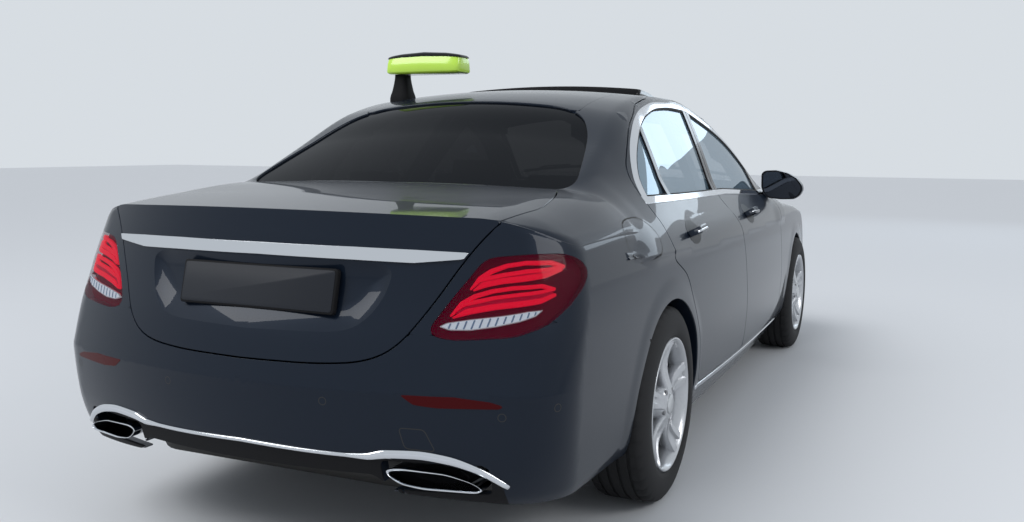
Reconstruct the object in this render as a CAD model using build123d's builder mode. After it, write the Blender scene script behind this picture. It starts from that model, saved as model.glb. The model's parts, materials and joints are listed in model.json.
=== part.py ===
from build123d import *
import os

os.makedirs("parts", exist_ok=True)

# Four-door saloon taxi, in millimetres. X to the car's right, Y forward, Z up.
# The origin is on the ground, midway between the bumpers and between the wheels.

# Driving dimensions
overall_length = 4923.0
body_width = 1852.0
wheelbase = 2939.0
front_overhang = 841.0
tyre_diameter = 678.0
tyre_width = 225.0
rim_seat_diameter = 446.0
front_track = 1605.0
rear_track = 1619.0
arch_radius = 366.0
body_base_z = 185.0
skin_wall = 30.0
door_wall = 118.0
roof_wall = 42.0
pillar_wall = 80.0
glass_thickness = 5.0
glass_inset = 8.0
panel_gap = 6.0
core_gap = 14.0
seat_gap = 0.3
steering_lock = 33.0

half_length = overall_length / 2
half_width = body_width / 2
front_axle_y = half_length - front_overhang
rear_axle_y = front_axle_y - wheelbase
wheel_z = tyre_diameter / 2
beyond = 1100.0  # where prisms that cut the whole body start and end

# Plan outlines of the lower body, one row for each height:
# height, narrower than the widest by, tail ahead of the rearmost by, nose behind the foremost by
plan_rows = [
    (body_base_z, 84, 128, 160),
    (300, 26, 44, 60),
    (430, 8, 10, 13),
    (575, 0, 0, 0),
    (700, 2, 36, 24),
    (830, 12, 82, 90),
    (960, 47, 112, 170),
    (1120, 100, 142, 262),
]
rear_bow = 190.0  # how far the tail has moved forward at its corners
front_bow = 250.0
rear_taper = 44.0  # how much narrower the body is at its corners
front_taper = 70.0
rear_corner_radius = 230.0
front_corner_radius = 260.0

# Deck and bonnet surface, one row for each station:
# station, height on the centreline, height where the crown ends, height of the shoulder
crown_half_width = 620.0
shoulder_half_width = 890.0
deck_rows = [
    (-2520, 1022, 998, 850),
    (-2335, 1040, 1016, 872),
    (-2000, 1070, 1052, 893),
    (-1650, 1093, 1080, 905),
    (-1000, 1096, 1082, 910),
    (-200, 1080, 1068, 909),
    (500, 1062, 1040, 904),
    (1100, 1010, 972, 890),
    (1600, 957, 915, 858),
    (2000, 893, 850, 800),
    (2300, 824, 780, 718),
    (2520, 760, 712, 640),
]

# Cabin roof and glass, one row for each station:
# station, roof height, half width and height of the roof corner, half width at the foot, corner radius
cabin_foot_z = 880.0
side_bulge = 12.0
cabin_rows = [
    (1180, 968, 790, 930, 850, 30),
    (1000, 1078, 768, 990, 850, 40),
    (800, 1188, 728, 1100, 849, 45),
    (549, 1320, 679, 1240, 850, 50),
    (257, 1437, 618, 1364, 852, 55),
    (-116, 1467, 582, 1431, 853, 60),
    (-517, 1463, 583, 1428, 853, 65),
    (-780, 1444, 597, 1399, 854, 70),
    (-1008, 1405, 622, 1343, 862, 80),
    (-1300, 1268, 640, 1212, 884, 95),
    (-1500, 1168, 655, 1122, 888, 90),
    (-1720, 1054, 672, 1020, 888, 60),
]

# Door outlines on the outer surface: across, along, up
hinge_out = half_width + 4
front_hinge_y = 1004.0
rear_hinge_y = -20.0
door_slant = 0.325  # how far a trailing edge leans forward for each millimetre inwards
rear_door_edge = [(905, -884, 320), (922, -938, 497), (920, -1120, 770), (912, -1290, 850), (800, -1292, 1018)]
rear_door_top = [(730, -1250, 1135), (650, -1022, 1296), (605, -790, 1384), (575, -517, 1428), (580, -63, 1432)]
door_split = [(580, -30, 1500), (607, -63, 1381), (785, -223, 1025), (805, -225, 990), (918, -140, 805),
              (922, -50, 470), (880, -34, 250), (860, -30, 100)]
front_door_edge = [(992, 277), (998, 377), (925, 805), (905, 958)]


def plan_outline(height, narrower, tail_in, nose_in, inset):
    """One plan outline of the lower body, drawn in by inset."""
    widest = half_width - narrower - inset
    tail = -half_length + tail_in + inset
    nose = half_length - nose_in - inset
    rear_x, rear_y = widest - rear_taper, tail + rear_bow
    front_x, front_y = widest - front_taper, nose - front_bow
    with BuildSketch(Plane.XY.offset(height)) as outline:
        with BuildLine():
            ThreePointArc((rear_x, rear_y), (widest, 0), (front_x, front_y))
            ThreePointArc((front_x, front_y), (0, nose), (-front_x, front_y))
            ThreePointArc((-front_x, front_y), (-widest, 0), (-rear_x, rear_y))
            ThreePointArc((-rear_x, rear_y), (0, tail), (rear_x, rear_y))
        make_face()
        fillet(outline.vertices().group_by(Axis.Y)[-1], front_corner_radius)
        fillet(outline.vertices().group_by(Axis.Y)[0], rear_corner_radius)
    return outline.sketch


def deck_section(station, centre, crown, shoulder, lowered):
    """One cross-section under the deck and bonnet surface, lowered by that much."""
    foot, side = 60.0, 1100.0
    with BuildSketch(Plane.XZ.offset(-station)) as section:
        with BuildLine():
            top = ThreePointArc(
                (-crown_half_width, crown - lowered),
                (0, centre - lowered),
                (crown_half_width, crown - lowered),
            )
            wing = TangentArc(top @ 1, (shoulder_half_width, shoulder - lowered), tangent=top % 1)
            run = (side - shoulder_half_width) / (wing % 1).X
            drop = Line(wing @ 1, wing @ 1 + (wing % 1) * run)
            right = Line(drop @ 1, (side, foot))
            base = Line(right @ 1, (-side, foot))
            left_drop = (-(drop @ 1).X, (drop @ 1).Y)
            Line(base @ 1, left_drop)
            Line(left_drop, (-shoulder_half_width, shoulder - lowered))
            TangentArc(
                top @ 0, (-shoulder_half_width, shoulder - lowered), tangent=(top % 0) * -1
            )
        make_face()
    return section.sketch


def cabin_section(station, roof, corner_x, corner_z, foot_x, radius, inset):
    """One cross-section of the cabin above the waist, drawn in by inset."""
    corner_x, corner_z, roof = corner_x - inset, corner_z - inset, roof - inset
    foot_x = foot_x - inset
    middle_x = (corner_x + foot_x) / 2 + side_bulge
    middle_z = (corner_z + cabin_foot_z) / 2
    with BuildSketch(Plane.XZ.offset(-station)) as section:
        with BuildLine():
            ThreePointArc((-corner_x, corner_z), (0, roof), (corner_x, corner_z))
            ThreePointArc((corner_x, corner_z), (middle_x, middle_z), (foot_x, cabin_foot_z))
            Line((foot_x, cabin_foot_z), (-foot_x, cabin_foot_z))
            ThreePointArc((-foot_x, cabin_foot_z), (-middle_x, middle_z), (-corner_x, corner_z))
        make_face()
        corners = section.vertices().filter_by(lambda v: abs(abs(v.X) - corner_x) < 0.01)
        fillet(corners, radius - inset * 0.4)
    return section.sketch


def lower_body(inset):
    """The body's sides, nose and tail below the waist."""
    with BuildPart() as lower:
        for row in plan_rows:
            add(plan_outline(*row, inset))
        loft(ruled=True)
    return lower.part


def deck_block(lowered):
    """Everything below the deck and bonnet surface."""
    with BuildPart() as block:
        for row in deck_rows:
            add(deck_section(*row, lowered))
        loft(ruled=True)
    return block.part


def cabin(inset):
    """The cabin above the waist."""
    with BuildPart() as upper:
        for row in cabin_rows:
            if row[3] - inset > cabin_foot_z:
                add(cabin_section(*row, inset))
        loft(ruled=True)
    return upper.part


def body_within(skin, roof):
    """The body's outer form, drawn in by skin below the waist and by roof above it."""
    with BuildPart() as form:
        add(lower_body(skin))
        add(deck_block(skin), mode=Mode.INTERSECT)
        add(cabin(roof))
    return form.part


def side_prism(points, grow=0.0, near=-beyond, far=beyond):
    """A prism across the car from a side-view outline."""
    with BuildPart() as prism:
        with BuildSketch(Plane.YZ.offset(near)):
            with BuildLine():
                Polyline(*points, close=True)
            make_face()
            if grow:
                offset(amount=grow, kind=Kind.INTERSECTION)
        extrude(amount=far - near)
    return prism.part


def plan_prism(points, low, high, grow=0.0):
    """An upright prism from a plan outline, across and along."""
    with BuildPart() as prism:
        with BuildSketch(Plane.XY.offset(low)):
            with BuildLine():
                Polyline(*points, close=True)
            make_face()
            if grow:
                offset(amount=grow, kind=Kind.INTERSECTION)
        extrude(amount=high - low)
    return prism.part


def front_prism(points, back, front, grow=0.0):
    """A prism along the car from a front-view outline, across and up."""
    with BuildPart() as prism:
        with BuildSketch(Plane.XZ.offset(-front)):
            with BuildLine():
                Polyline(*points, close=True)
            make_face()
            if grow:
                offset(amount=grow, kind=Kind.INTERSECTION)
        extrude(amount=front - back)
    return prism.part


def corner_prism(points):
    """A prism through the right rear corner, from an outline seen square to that corner."""
    view = Plane(origin=(0, 0, 0), x_dir=(1, 1, 0), z_dir=(1, -1, 0))
    with BuildPart() as prism:
        with BuildSketch(view.offset(1500)):
            with BuildLine():
                Polyline(*points, close=True)
            make_face()
        extrude(amount=1300)
    return prism.part


def slanted_prism(points, grow=0.0, near=552.0):
    """A prism through the right side whose edges lean forward inwards, as trailing door edges do."""
    start_x = 1000.0
    flat = [(y - (start_x - x) * door_slant, z) for x, y, z in points]
    with BuildPart() as prism:
        with BuildSketch(Plane.YZ.offset(start_x)):
            with BuildLine():
                Polyline(*flat, close=True)
            make_face()
            if grow:
                offset(amount=grow, kind=Kind.INTERSECTION)
        extrude(amount=near - start_x, dir=(1, -door_slant, 0))
    return prism.part


def box(low, high):
    """A plain block between two corners."""
    size = [b - a for a, b in zip(low, high)]
    centre = [(a + b) / 2 for a, b in zip(low, high)]
    with BuildPart() as block:
        with Locations(tuple(centre)):
            Box(*size)
    return block.part


def across_cylinder(radius, y, z, near, far):
    """A cylinder along X."""
    with BuildPart() as drum:
        with BuildSketch(Plane.YZ.offset(near)):
            with Locations((y, z)):
                Circle(radius)
        extrude(amount=far - near)
    return drum.part


def common(solid, *others):
    """What the solid shares with all the others."""
    with BuildPart() as result:
        add(solid)
        for other in others:
            add(other, mode=Mode.INTERSECT)
    return result.part


def without(solid, *cutters):
    """The solid with the cutters taken away."""
    with BuildPart() as result:
        add(solid)
        for cutter in cutters:
            add(cutter, mode=Mode.SUBTRACT)
    return result.part


def joined(*solids):
    """Solids made one."""
    with BuildPart() as result:
        for solid in solids:
            add(solid)
    return result.part


def mirrored(solid):
    """The same piece on the other side of the car."""
    return mirror(solid, about=Plane.YZ)


def save(name, solid):
    solid.label = name
    export_step(solid, f"parts/{name}.step")


def halves(solid):
    """The right half of a body that is alike on both sides."""
    return common(solid, box((0, -3000, 0), (beyond, 3000, 1600)))


# The outer form, the inside of the skin, and the inside of the doors and pillars
outer_form = halves(body_within(0, 0))
door_back = halves(body_within(skin_wall + 5, roof_wall + 5))
skin_form = halves(body_within(skin_wall, roof_wall))
inner_form = halves(body_within(door_wall, pillar_wall))
skin = without(outer_form, skin_form)
wall = without(outer_form, inner_form)
glass_sheet = without(halves(cabin(glass_inset)), cabin(glass_inset + glass_thickness))

# Cutting outlines
roof_edge_x = 470.0
door_inner_x = 545.0
window_line = [
    (-1262, 1028), (-1220, 1119), (-1008, 1270), (-780, 1355), (-517, 1398), (-116, 1402),
    (257, 1320), (549, 1202), (872, 990), (872, 968), (-215, 1014), (-1200, 1022),
]
door_top = [(905, 958), (880, 985), (560, 1229), (265, 1348), (-63, 1430), (-400, 1430)]
front_door_line = [(-400, 322), (960, 278)] + front_door_edge + door_top[1:]
front_core_line = [(845, 925), (922, 430), (922, 355), (70, 355), (40, 470), (-45, 800), (-110, 925)]
rear_core_line = [
    (-262, 925), (-205, 800), (-140, 470), (-140, 365), (-835, 365), (-860, 520), (-1040, 770),
    (-1190, 860), (-1195, 925),
]
roof_line = [
    (-roof_edge_x, -1066), (roof_edge_x, -1066), (roof_edge_x, 335), (-roof_edge_x, 335),
]
windscreen_line = [
    (-560, 335), (560, 335), (700, 985), (400, 1060), (0, 1085), (-400, 1060), (-700, 985),
]
rear_window_line = [
    (-30, -1046), (400, -1046), (500, -1100), (562, -1215), (602, -1360), (648, -1560), (600, -1624), (-30, -1650),
]
cowl_line = [(-728, 985), (728, 985), (718, 1106), (-718, 1106)]
bonnet_line = [
    (-712, 1112), (712, 1112), (704, 1600), (660, 1950), (560, 2190), (450, 2318), (0, 2420),
    (-450, 2318), (-560, 2190), (-660, 1950), (-704, 1600),
]
fender_line = [
    (996, 100), (996, 250), (1004, 377), (931, 805), (911, 964), (1000, 985), (1106, 1020),
    (1106, 1120), (2600, 1120), (2600, 100),
]
front_bumper_line = [(1700, 60), (1850, 606), (2095, 694), (2600, 694), (2600, 60)]
headlamp_line = [(1985, 806), (2095, 694), (2600, 640), (2600, 860), (2000, 860)]
lid_face_line = [
    (-30, 637), (234, 641), (376, 653), (460, 695), (530, 798), (606, 929), (664, 1007), (730, 1062), (730, 1130),
    (-30, 1130),
]
lid_top_line = [
    (-30, -2600), (730, -2600), (672, -2240), (697, -1980), (665, -1790), (622, -1666), (-30, -1666),
]
lid_front_y = -1666.0
tail_lamp_line = [
    (-1125, 927), (-1024, 937), (-915, 936), (-857, 917), (-827, 885), (-843, 854), (-908, 801), (-987, 754),
    (-1081, 725), (-1223, 714), (-1270, 722), (-1278, 744), (-1211, 825),
]
rear_bumper_line = [
    (-1450, 60), (-1530, 604), (-2147, 721), (-2181, 763), (-2330, 726), (-2600, 718), (-2600, 60),
]
rear_low_line = [(-30, 0), (-30, 345), (400, 345), (450, 292), (760, 268), (beyond, 235), (beyond, 0)]

roof_cut = plan_prism(roof_line, 1200, 1600)
windscreen_cut = plan_prism(windscreen_line, 985, 1600)
rear_window_cut = plan_prism(rear_window_line, 1000, 1600)
cowl_cut = plan_prism(cowl_line, 900, 1100)
bonnet_cut = plan_prism(bonnet_line, 700, 1100, panel_gap)
fender_cut = side_prism(fender_line)
front_bumper_cut = side_prism(front_bumper_line)
headlamp_cut = side_prism(headlamp_line)
lid_cut = common(
    front_prism(lid_face_line, -2600, lid_front_y + panel_gap, panel_gap),
    plan_prism(lid_top_line, 600, 1200, panel_gap),
)
tail_lamp_cut = corner_prism(tail_lamp_line)
rear_bumper_cut = side_prism(rear_bumper_line)
front_arch = across_cylinder(arch_radius, front_axle_y, wheel_z, 500, beyond)
rear_arch = across_cylinder(arch_radius, rear_axle_y, wheel_z, 640, beyond)
window_cut = side_prism(window_line, near=300)
nothing_low = box((0, -1250, 0), (700, 960, 235))

# Doors
split_front = [(x, y + panel_gap / 2, z) for x, y, z in door_split]
split_rear = [(x, y - panel_gap / 2, z) for x, y, z in door_split]
front_limit = slanted_prism(split_front + [(860, 1400, 100), (580, 1400, 1500)])
front_limit_wide = slanted_prism(
    [(x, y - 2 * panel_gap, z) for x, y, z in door_split] + [(860, 1400, 100), (580, 1400, 1500)]
)
rear_line = rear_door_edge + rear_door_top + split_rear[1:-2] + [(910, -47, 310)]
front_outline_cut = side_prism(front_door_line, near=door_inner_x + 7)
front_opening = common(side_prism(front_door_line, panel_gap, near=door_inner_x), front_limit_wide)
rear_outline_cut = slanted_prism(rear_line, near=560.0)
rear_opening = slanted_prism(rear_line, panel_gap)


def door(outline, core_line):
    """One right door: its skin and window frame with the deeper core below the glass."""
    core = side_prism(core_line, near=500)
    below_glass = box((500, -1300, 200), (beyond, 1000, 925))
    return joined(
        without(common(skin, outline), window_cut),
        without(common(skin_form, core, below_glass), inner_form),
    )


front_door = door(common(front_outline_cut, front_limit), front_core_line)
rear_door = door(rear_outline_cut, rear_core_line)
window_pane = side_prism(window_line, -seat_gap, near=300)
front_door_glass = common(glass_sheet, window_pane, front_limit, box((300, -300, 900), (beyond, 1000, 1500)))
divider_line = [
    (-822, 1460), (-862, 1460), (-990, 1110), (-1010, 900), (-970, 900), (-950, 1110),
]
divider = common(skin, side_prism(divider_line, near=582), window_cut)
rear_pane_limit = slanted_prism(rear_line)
rear_door_glass = without(
    common(glass_sheet, window_pane, rear_pane_limit),
    side_prism(divider_line, seat_gap, near=300),
)
rear_door = joined(rear_door, divider)

# Body side: sill, pillars, roof rail and quarter panel in one pressing
side_start = box((0, -2600, 0), (beyond, 1180, 1600))
side_frame = without(
    common(wall, side_start),
    roof_cut,
    windscreen_cut,
    rear_window_cut,
    cowl_cut,
    fender_cut,
    bonnet_cut,
    lid_cut,
    tail_lamp_cut,
    rear_bumper_cut,
    rear_arch,
)
shallow = without(outer_form, door_back)
front_core_opening = side_prism(front_core_line, core_gap, near=300)
rear_core_opening = side_prism(rear_core_line, core_gap, near=300)
window_opening = side_prism(window_line, -4.0, near=300)
pillar_line = [(-20, 1500), (-25, 1400), (-165, 1018), (-150, 930), (-285, 930), (-290, 1018), (-115, 1400), (-110, 1500)]
b_pillar = common(without(door_back, inner_form), side_prism(pillar_line, near=300))
side_frame = without(
    side_frame,
    common(shallow, front_opening),
    common(shallow, rear_opening),
    front_core_opening,
    rear_core_opening,
    window_opening,
)
hinge_x = 822.0
hinge_z = 410.0
front_core_y = 922.0
rear_core_y = -140.0
side_frame = joined(
    side_frame,
    without(b_pillar, roof_cut),
    box((hinge_x - 18, front_core_y + seat_gap, hinge_z - 30), (hinge_x + 18, front_core_y + 30, hinge_z + 30)),
    box((hinge_x - 18, rear_core_y + seat_gap, hinge_z - 30), (hinge_x + 18, rear_core_y + 30, hinge_z + 30)),
    box((560, lid_front_y + seat_gap, 1058), (600, lid_front_y + 20, 1074)),
)

# Front panels
fender = without(
    common(skin, fender_cut),
    bonnet_cut,
    cowl_cut,
    front_bumper_cut,
    headlamp_cut,
    front_arch,
)
bonnet = common(skin, plan_prism(bonnet_line, 700, 1100))
grille_line = [(0, 748), (425, 742), (452, 640), (400, 505), (0, 500)]
grille_inner_line = [(0, 722), (404, 716), (428, 640), (382, 530), (0, 526)]
intake_line = [(0, 262), (350, 268), (400, 395), (0, 405)]
side_intake_line = [(505, 268), (770, 345), (735, 425), (560, 400)]
grille_cut = front_prism(grille_line, 2200, 2600)
headlamp = without(common(skin, headlamp_cut), bonnet_cut, grille_cut)
front_bumper = without(
    common(skin, front_bumper_cut),
    bonnet_cut,
    headlamp_cut,
    grille_cut,
    front_prism(intake_line, 2200, 2600),
    front_prism(side_intake_line, 2000, 2600),
    front_arch,
)
grille = without(common(skin, grille_cut), front_prism(grille_inner_line, 2200, 2600), bonnet_cut)
slat_heights = [555, 610, 665]
for height in slat_heights:
    slat = box((0, 2200, height), (440, 2600, height + 22))
    grille = joined(grille, common(skin, slat, front_prism(grille_line, 2200, 2600, -3.0)))

# Rear panels
recess_depth = 22.0
recess_line = [(-30, 910), (420, 906), (408, 828), (370, 762), (308, 722), (-30, 712)]
plate_recess = without(
    front_prism(recess_line, -2600, -2200), outer_form.moved(Location((0, recess_depth, 0)))
)
boot_lid = without(
    common(skin, front_prism(lid_face_line, -2600, lid_front_y), plan_prism(lid_top_line, 600, 1200)),
    plate_recess,
)
tail_lamp = without(common(skin, tail_lamp_cut), lid_cut)
tip_opening_line = [(420, 300), (704, 300), (704, 390), (420, 390)]
rear_bumper = without(
    common(skin, rear_bumper_cut),
    lid_cut,
    tail_lamp_cut,
    rear_arch,
    front_prism(tip_opening_line, -2600, -2100),
    front_prism(rear_low_line, -2600, -1400),
)

# Roof, glass and cowl
sunroof_line = [(-437, -215), (437, -215), (437, 290), (-437, 290)]
sunroof_tilt = 3.6
sunroof_gap = 1.6
roof_panel = without(common(skin, roof_cut), plan_prism(sunroof_line, 1300, 1600), rear_window_cut)
sunroof_pane = common(skin, plan_prism(sunroof_line, 1300, 1600, -sunroof_gap))

windscreen = common(glass_sheet, plan_prism(windscreen_line, 985, 1600, -seat_gap))
rear_window = common(glass_sheet, plan_prism(rear_window_line, 1000, 1600, -seat_gap))
cowl = joined(
    without(common(skin, cowl_cut), windscreen_cut, bonnet_cut),
    box((560, 1095, 952), (600, 1112 - seat_gap, 968)),
)

# Mirrors on the front doors
mirror_y = 850.0
mirror_z = 1030.0
mirror_outline = [
    (905, -34), (905, 22), (935, 56), (985, 72), (1026, 52), (1032.1, 10), (1018, -40), (960, -62), (925, -58),
]
with BuildPart() as door_mirror:
    with BuildSketch(Plane.XZ.offset(-(mirror_y + 60))):
        with BuildLine():
            Polyline(*[(x, mirror_z + lift) for x, lift in mirror_outline], close=True)
        make_face()
    extrude(amount=118)
    chamfer(door_mirror.edges().group_by(Axis.Y)[-1], 16)
    with BuildSketch(Plane.YZ.offset(812)):
        with Locations((mirror_y - 8, mirror_z - 60)):
            Rectangle(60, 56)
    extrude(amount=100)
door_side = common(outer_form, box((700, 700, 800), (beyond, 1000, 1200)))
door_mirror_piece = without(door_mirror.part, door_side).moved(Location((seat_gap + 0.1, 0, 0)))

# Wheels, about the wheel's own axis, outer side towards +X
rim_flange_radius = 232.0
rim_inner_radius = 205.0
brake_radius = 130.0
spoke_count = 5
hub_radius = 72.0
hub_back_x = -72.0
tyre_section = [
    (-94 + seat_gap, rim_seat_diameter / 2 + seat_gap), (-tyre_width / 2, 268), (-80, tyre_diameter / 2),
    (80, tyre_diameter / 2), (tyre_width / 2, 268), (94 - seat_gap, rim_seat_diameter / 2 + seat_gap),
]
rim_section = [
    (-100, 205), (-100, 223), (100, 223), (100, 205),
]


spoke_back_x = 62.0
spoke_depth = 38.0
groove_depth = 20.0
with BuildSketch() as spoke_sketch:
    with BuildLine():
        Polyline((40, -34), (212, -54), (212, 54), (40, 34), close=True)
    make_face()
spoke_face = spoke_sketch.sketch
with BuildSketch() as groove_sketch:
    with BuildLine():
        Polyline((hub_radius + 12, -5), (205, -15), (205, 15), (hub_radius + 12, 5), close=True)
    make_face()
groove_face = groove_sketch.sketch


def wheel_pieces(centre_x, axle_y):
    """A tyre and a rim of the right side."""
    plane = Plane(origin=(centre_x, axle_y, wheel_z), x_dir=(1, 0, 0), z_dir=(0, -1, 0))
    axis = Axis((centre_x, axle_y, wheel_z), (1, 0, 0))
    with BuildPart() as tyre:
        with BuildSketch(plane):
            with BuildLine():
                Polyline(*tyre_section, close=True)
            make_face()
        revolve(axis=axis)
    with BuildPart() as rim:
        with BuildSketch(plane):
            with BuildLine():
                Polyline(*rim_section, close=True)
            make_face()
        revolve(axis=axis)
        hub_plane = Plane(origin=(centre_x, axle_y, wheel_z), x_dir=(0, 1, 0), z_dir=(1, 0, 0))
        with BuildSketch(hub_plane.offset(hub_back_x)):
            Circle(hub_radius)
        extrude(amount=62 - hub_back_x)
        with BuildSketch(hub_plane.offset(hub_back_x + 6)):
            Circle(brake_radius)
        extrude(amount=22)
        with BuildSketch(hub_plane.offset(spoke_back_x)):
            with PolarLocations(0, spoke_count, start_angle=90):
                add(spoke_face)
            Circle(hub_radius)
        extrude(amount=spoke_depth)
        with BuildSketch(hub_plane.offset(spoke_back_x + spoke_depth - groove_depth)):
            with PolarLocations(0, spoke_count, start_angle=90):
                add(groove_face)
        extrude(amount=groove_depth, mode=Mode.SUBTRACT)
    return tyre.part, rim.part


front_wheel_x = front_track / 2
rear_wheel_x = rear_track / 2
front_tyre, front_rim = wheel_pieces(front_wheel_x, front_axle_y)
rear_tyre, rear_rim = wheel_pieces(rear_wheel_x, rear_axle_y)

# Steered upright: a carrier behind the brake disc and a lug under it on the steering axis
kingpin_x = front_wheel_x - 15
carrier_x = front_wheel_x + hub_back_x - seat_gap
lug_low_z = 190.3
lug_high_z = 205.0
arm_low_z = 172.0
with BuildPart() as knuckle:
    with BuildSketch(Plane.YZ.offset(carrier_x)):
        with Locations((front_axle_y, wheel_z)):
            Circle(62)
        with Locations((front_axle_y, (wheel_z + lug_low_z) / 2)):
            Rectangle(70, wheel_z - lug_low_z)
    extrude(amount=-26)
    with BuildSketch(Plane.XY.offset(lug_low_z)):
        with Locations(((carrier_x + kingpin_x - 10) / 2, front_axle_y)):
            Rectangle(kingpin_x - carrier_x + 40, 44)
    extrude(amount=lug_high_z - lug_low_z)
    with BuildSketch(Plane.YZ.offset(carrier_x - 26)):
        with Locations((front_axle_y - 150, wheel_z + 20)):
            Rectangle(70, 110)
        with Locations((front_axle_y - 80, wheel_z + 10)):
            Rectangle(100, 60)
    extrude(amount=26)
    with BuildSketch(Plane.YZ.offset(carrier_x - 26)):
        with Locations((front_axle_y - 165, wheel_z + 20)):
            Rectangle(40, 110)
    extrude(amount=70)

# Front subframe with lower arms and struts
leg_low = 380.0
engine_low = 330.0
subframe_x = 380.0
with BuildPart() as subframe:
    with Locations((0, front_axle_y, 235)):
        Box(2 * subframe_x, 160, 70)
    with Locations((subframe_x - 35, front_axle_y - 60, 250)):
        Box(70, 620, 60)
    with Locations((-subframe_x + 35, front_axle_y - 60, 250)):
        Box(70, 620, 60)
    for side in (1, -1):
        with BuildSketch(Plane.XY.offset(arm_low_z)):
            with BuildLine():
                Polyline(
                    (side * (subframe_x - 60), front_axle_y - 60),
                    (side * 560, front_axle_y - 22),
                    (side * kingpin_x, front_axle_y - 18),
                    (side * (kingpin_x + 16), front_axle_y),
                    (side * kingpin_x, front_axle_y + 18),
                    (side * 560, front_axle_y + 22),
                    (side * (subframe_x - 60), front_axle_y + 60),
                    close=True,
                )
            make_face()
        extrude(amount=lug_low_z - seat_gap - arm_low_z)
        with Locations((side * (subframe_x - 30), front_axle_y, 205)):
            Box(60, 120, 60)
        near, far = sorted((side * (subframe_x - 10), side * 456))
        add(box((near, front_axle_y - 150, 250), (far, front_axle_y - 90, 280)))
        near, far = sorted((side * 432, side * 456))
        add(box((near, front_axle_y - 150, 250), (far, front_axle_y - 90, leg_low - seat_gap)))
        near, far = sorted((side * 160, side * 240))
        add(box((near, front_axle_y - 40, 260), (far, front_axle_y + 40, engine_low - seat_gap)))
        with BuildSketch(Plane.XY.offset(180)):
            with Locations((side * 600, front_axle_y)):
                Circle(27)
        extrude(amount=520)

# Rear axle: cross member, final drive and hub carriers
boot_floor_low = 395.0
rear_carrier_x = rear_wheel_x + hub_back_x - seat_gap
with BuildPart() as rear_axle:
    with Locations((0, rear_axle_y - 20, 300)):
        Box(900, 60, 60)
    with Locations((0, rear_axle_y - 150, 300)):
        Box(900, 60, 60)
    with BuildSketch(Plane.XZ.offset(-(rear_axle_y + 50))):
        with Locations((0, 312)):
            Circle(74)
    extrude(amount=240)
    with BuildSketch(Plane.YZ.offset(-rear_carrier_x)):
        with Locations((rear_axle_y, wheel_z)):
            Circle(26)
    extrude(amount=2 * rear_carrier_x)
    for side in (1, -1):
        with Locations((side * (rear_carrier_x - 14), rear_axle_y, wheel_z)):
            Box(28, 130, 150)
        with Locations((side * 540, rear_axle_y, 262)):
            Box(240, 60, 24)
        with Locations((side * 430, rear_axle_y - 65, 275)):
            Box(40, 230, 40)
        for mount_y in (rear_axle_y - 20, rear_axle_y - 150):
            near, far = sorted((side * 400, side * 440))
            add(box((near, mount_y - 25, 320), (far, mount_y + 25, boot_floor_low - seat_gap)))

# Floor, with its tunnel, seat step and rear footing
floor_top = 225.0
floor_low = 195.0
tunnel_half = 130.0
floor_half = 704.0
with BuildPart() as floor_pan:
    with BuildSketch(Plane.XZ.offset(-930)):
        with BuildLine():
            Polyline(
                (-floor_half, floor_low), (-floor_half, floor_top), (-tunnel_half, floor_top),
                (-tunnel_half + 30, 370), (tunnel_half - 30, 370), (tunnel_half, floor_top),
                (floor_half, floor_top), (floor_half, floor_low), (tunnel_half - 25, floor_low),
                (tunnel_half - 55, 340), (-tunnel_half + 55, 340), (-tunnel_half + 25, floor_low),
                close=True,
            )
        make_face()
    extrude(amount=930 + 905)
outriggers = []
for outrigger_y in (-760, 0, 720):
    reach = box((floor_half - 4, outrigger_y - 30, floor_low + 1), (floor_half + 60, outrigger_y + 30, floor_top - 1))
    arm = common(reach, inner_form).moved(Location((-seat_gap, 0, 0)))
    outriggers += [arm, mirrored(arm)]
floor_with_arms = joined(floor_pan.part, *outriggers)

# Rear tub: seat pan, bulkhead, parcel shelf, wheel housings, boot floor and rear wall
tub_half = 640.0
shelf_half = 540.0
with BuildPart() as rear_tub:
    add(box((-tub_half, -1230, 250), (tub_half, -905, 375)))
    add(box((-tub_half, -1260, 250), (tub_half, -1230, 900)))
    add(box((-shelf_half, -1260, 900), (shelf_half, -1230, 1010)))
    add(box((-shelf_half, -1600, 985), (shelf_half, -1230, 1010)))
    add(box((-tub_half, -2260, boot_floor_low), (tub_half, -1230, 425)))
    add(box((-tub_half, -2260, 425), (tub_half, -2230, 600)))
    for side in (1, -1):
        near, far = sorted((side * 625, side * tub_half))
        add(box((near, -2100, 395), (far, -1230, 900)))
rear_lining_far = 745.0
front_lining_far = 775.0
liner = without(
    across_cylinder(arch_radius + 22, rear_axle_y, wheel_z, tub_half, rear_lining_far),
    across_cylinder(arch_radius, rear_axle_y, wheel_z, tub_half, rear_lining_far),
    box((0, -3000, -200), (beyond, 0, 300)),
)
rear_tub = joined(rear_tub.part, liner, mirrored(liner))

# Front structure: firewall, wheel housings, chassis legs and nose frame
apron_x = 478.0
with BuildPart() as legs:
    add(box((0, 930, 225), (700, 955, 900)))
    add(box((430, 955, leg_low), (apron_x, 2260, 470)))
    add(box((430, 955, 470), (440, 2000, 780)))
    add(box((0, 2215, 300), (apron_x, 2250, 370)))
    add(box((0, 2215, 700), (apron_x, 2250, 745)))
    add(box((430, 2215, 300), (apron_x, 2250, 745)))
    add(box((apron_x - 20, 1230, 225), (apron_x + 20, 2010, 700)))
front_liner = without(
    across_cylinder(arch_radius + 22, front_axle_y, wheel_z, 478, front_lining_far),
    front_arch,
    box((0, 0, -200), (beyond, 3000, 260)),
)
half_structure = joined(legs.part, front_liner)
front_structure = joined(half_structure, mirrored(half_structure))

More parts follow.
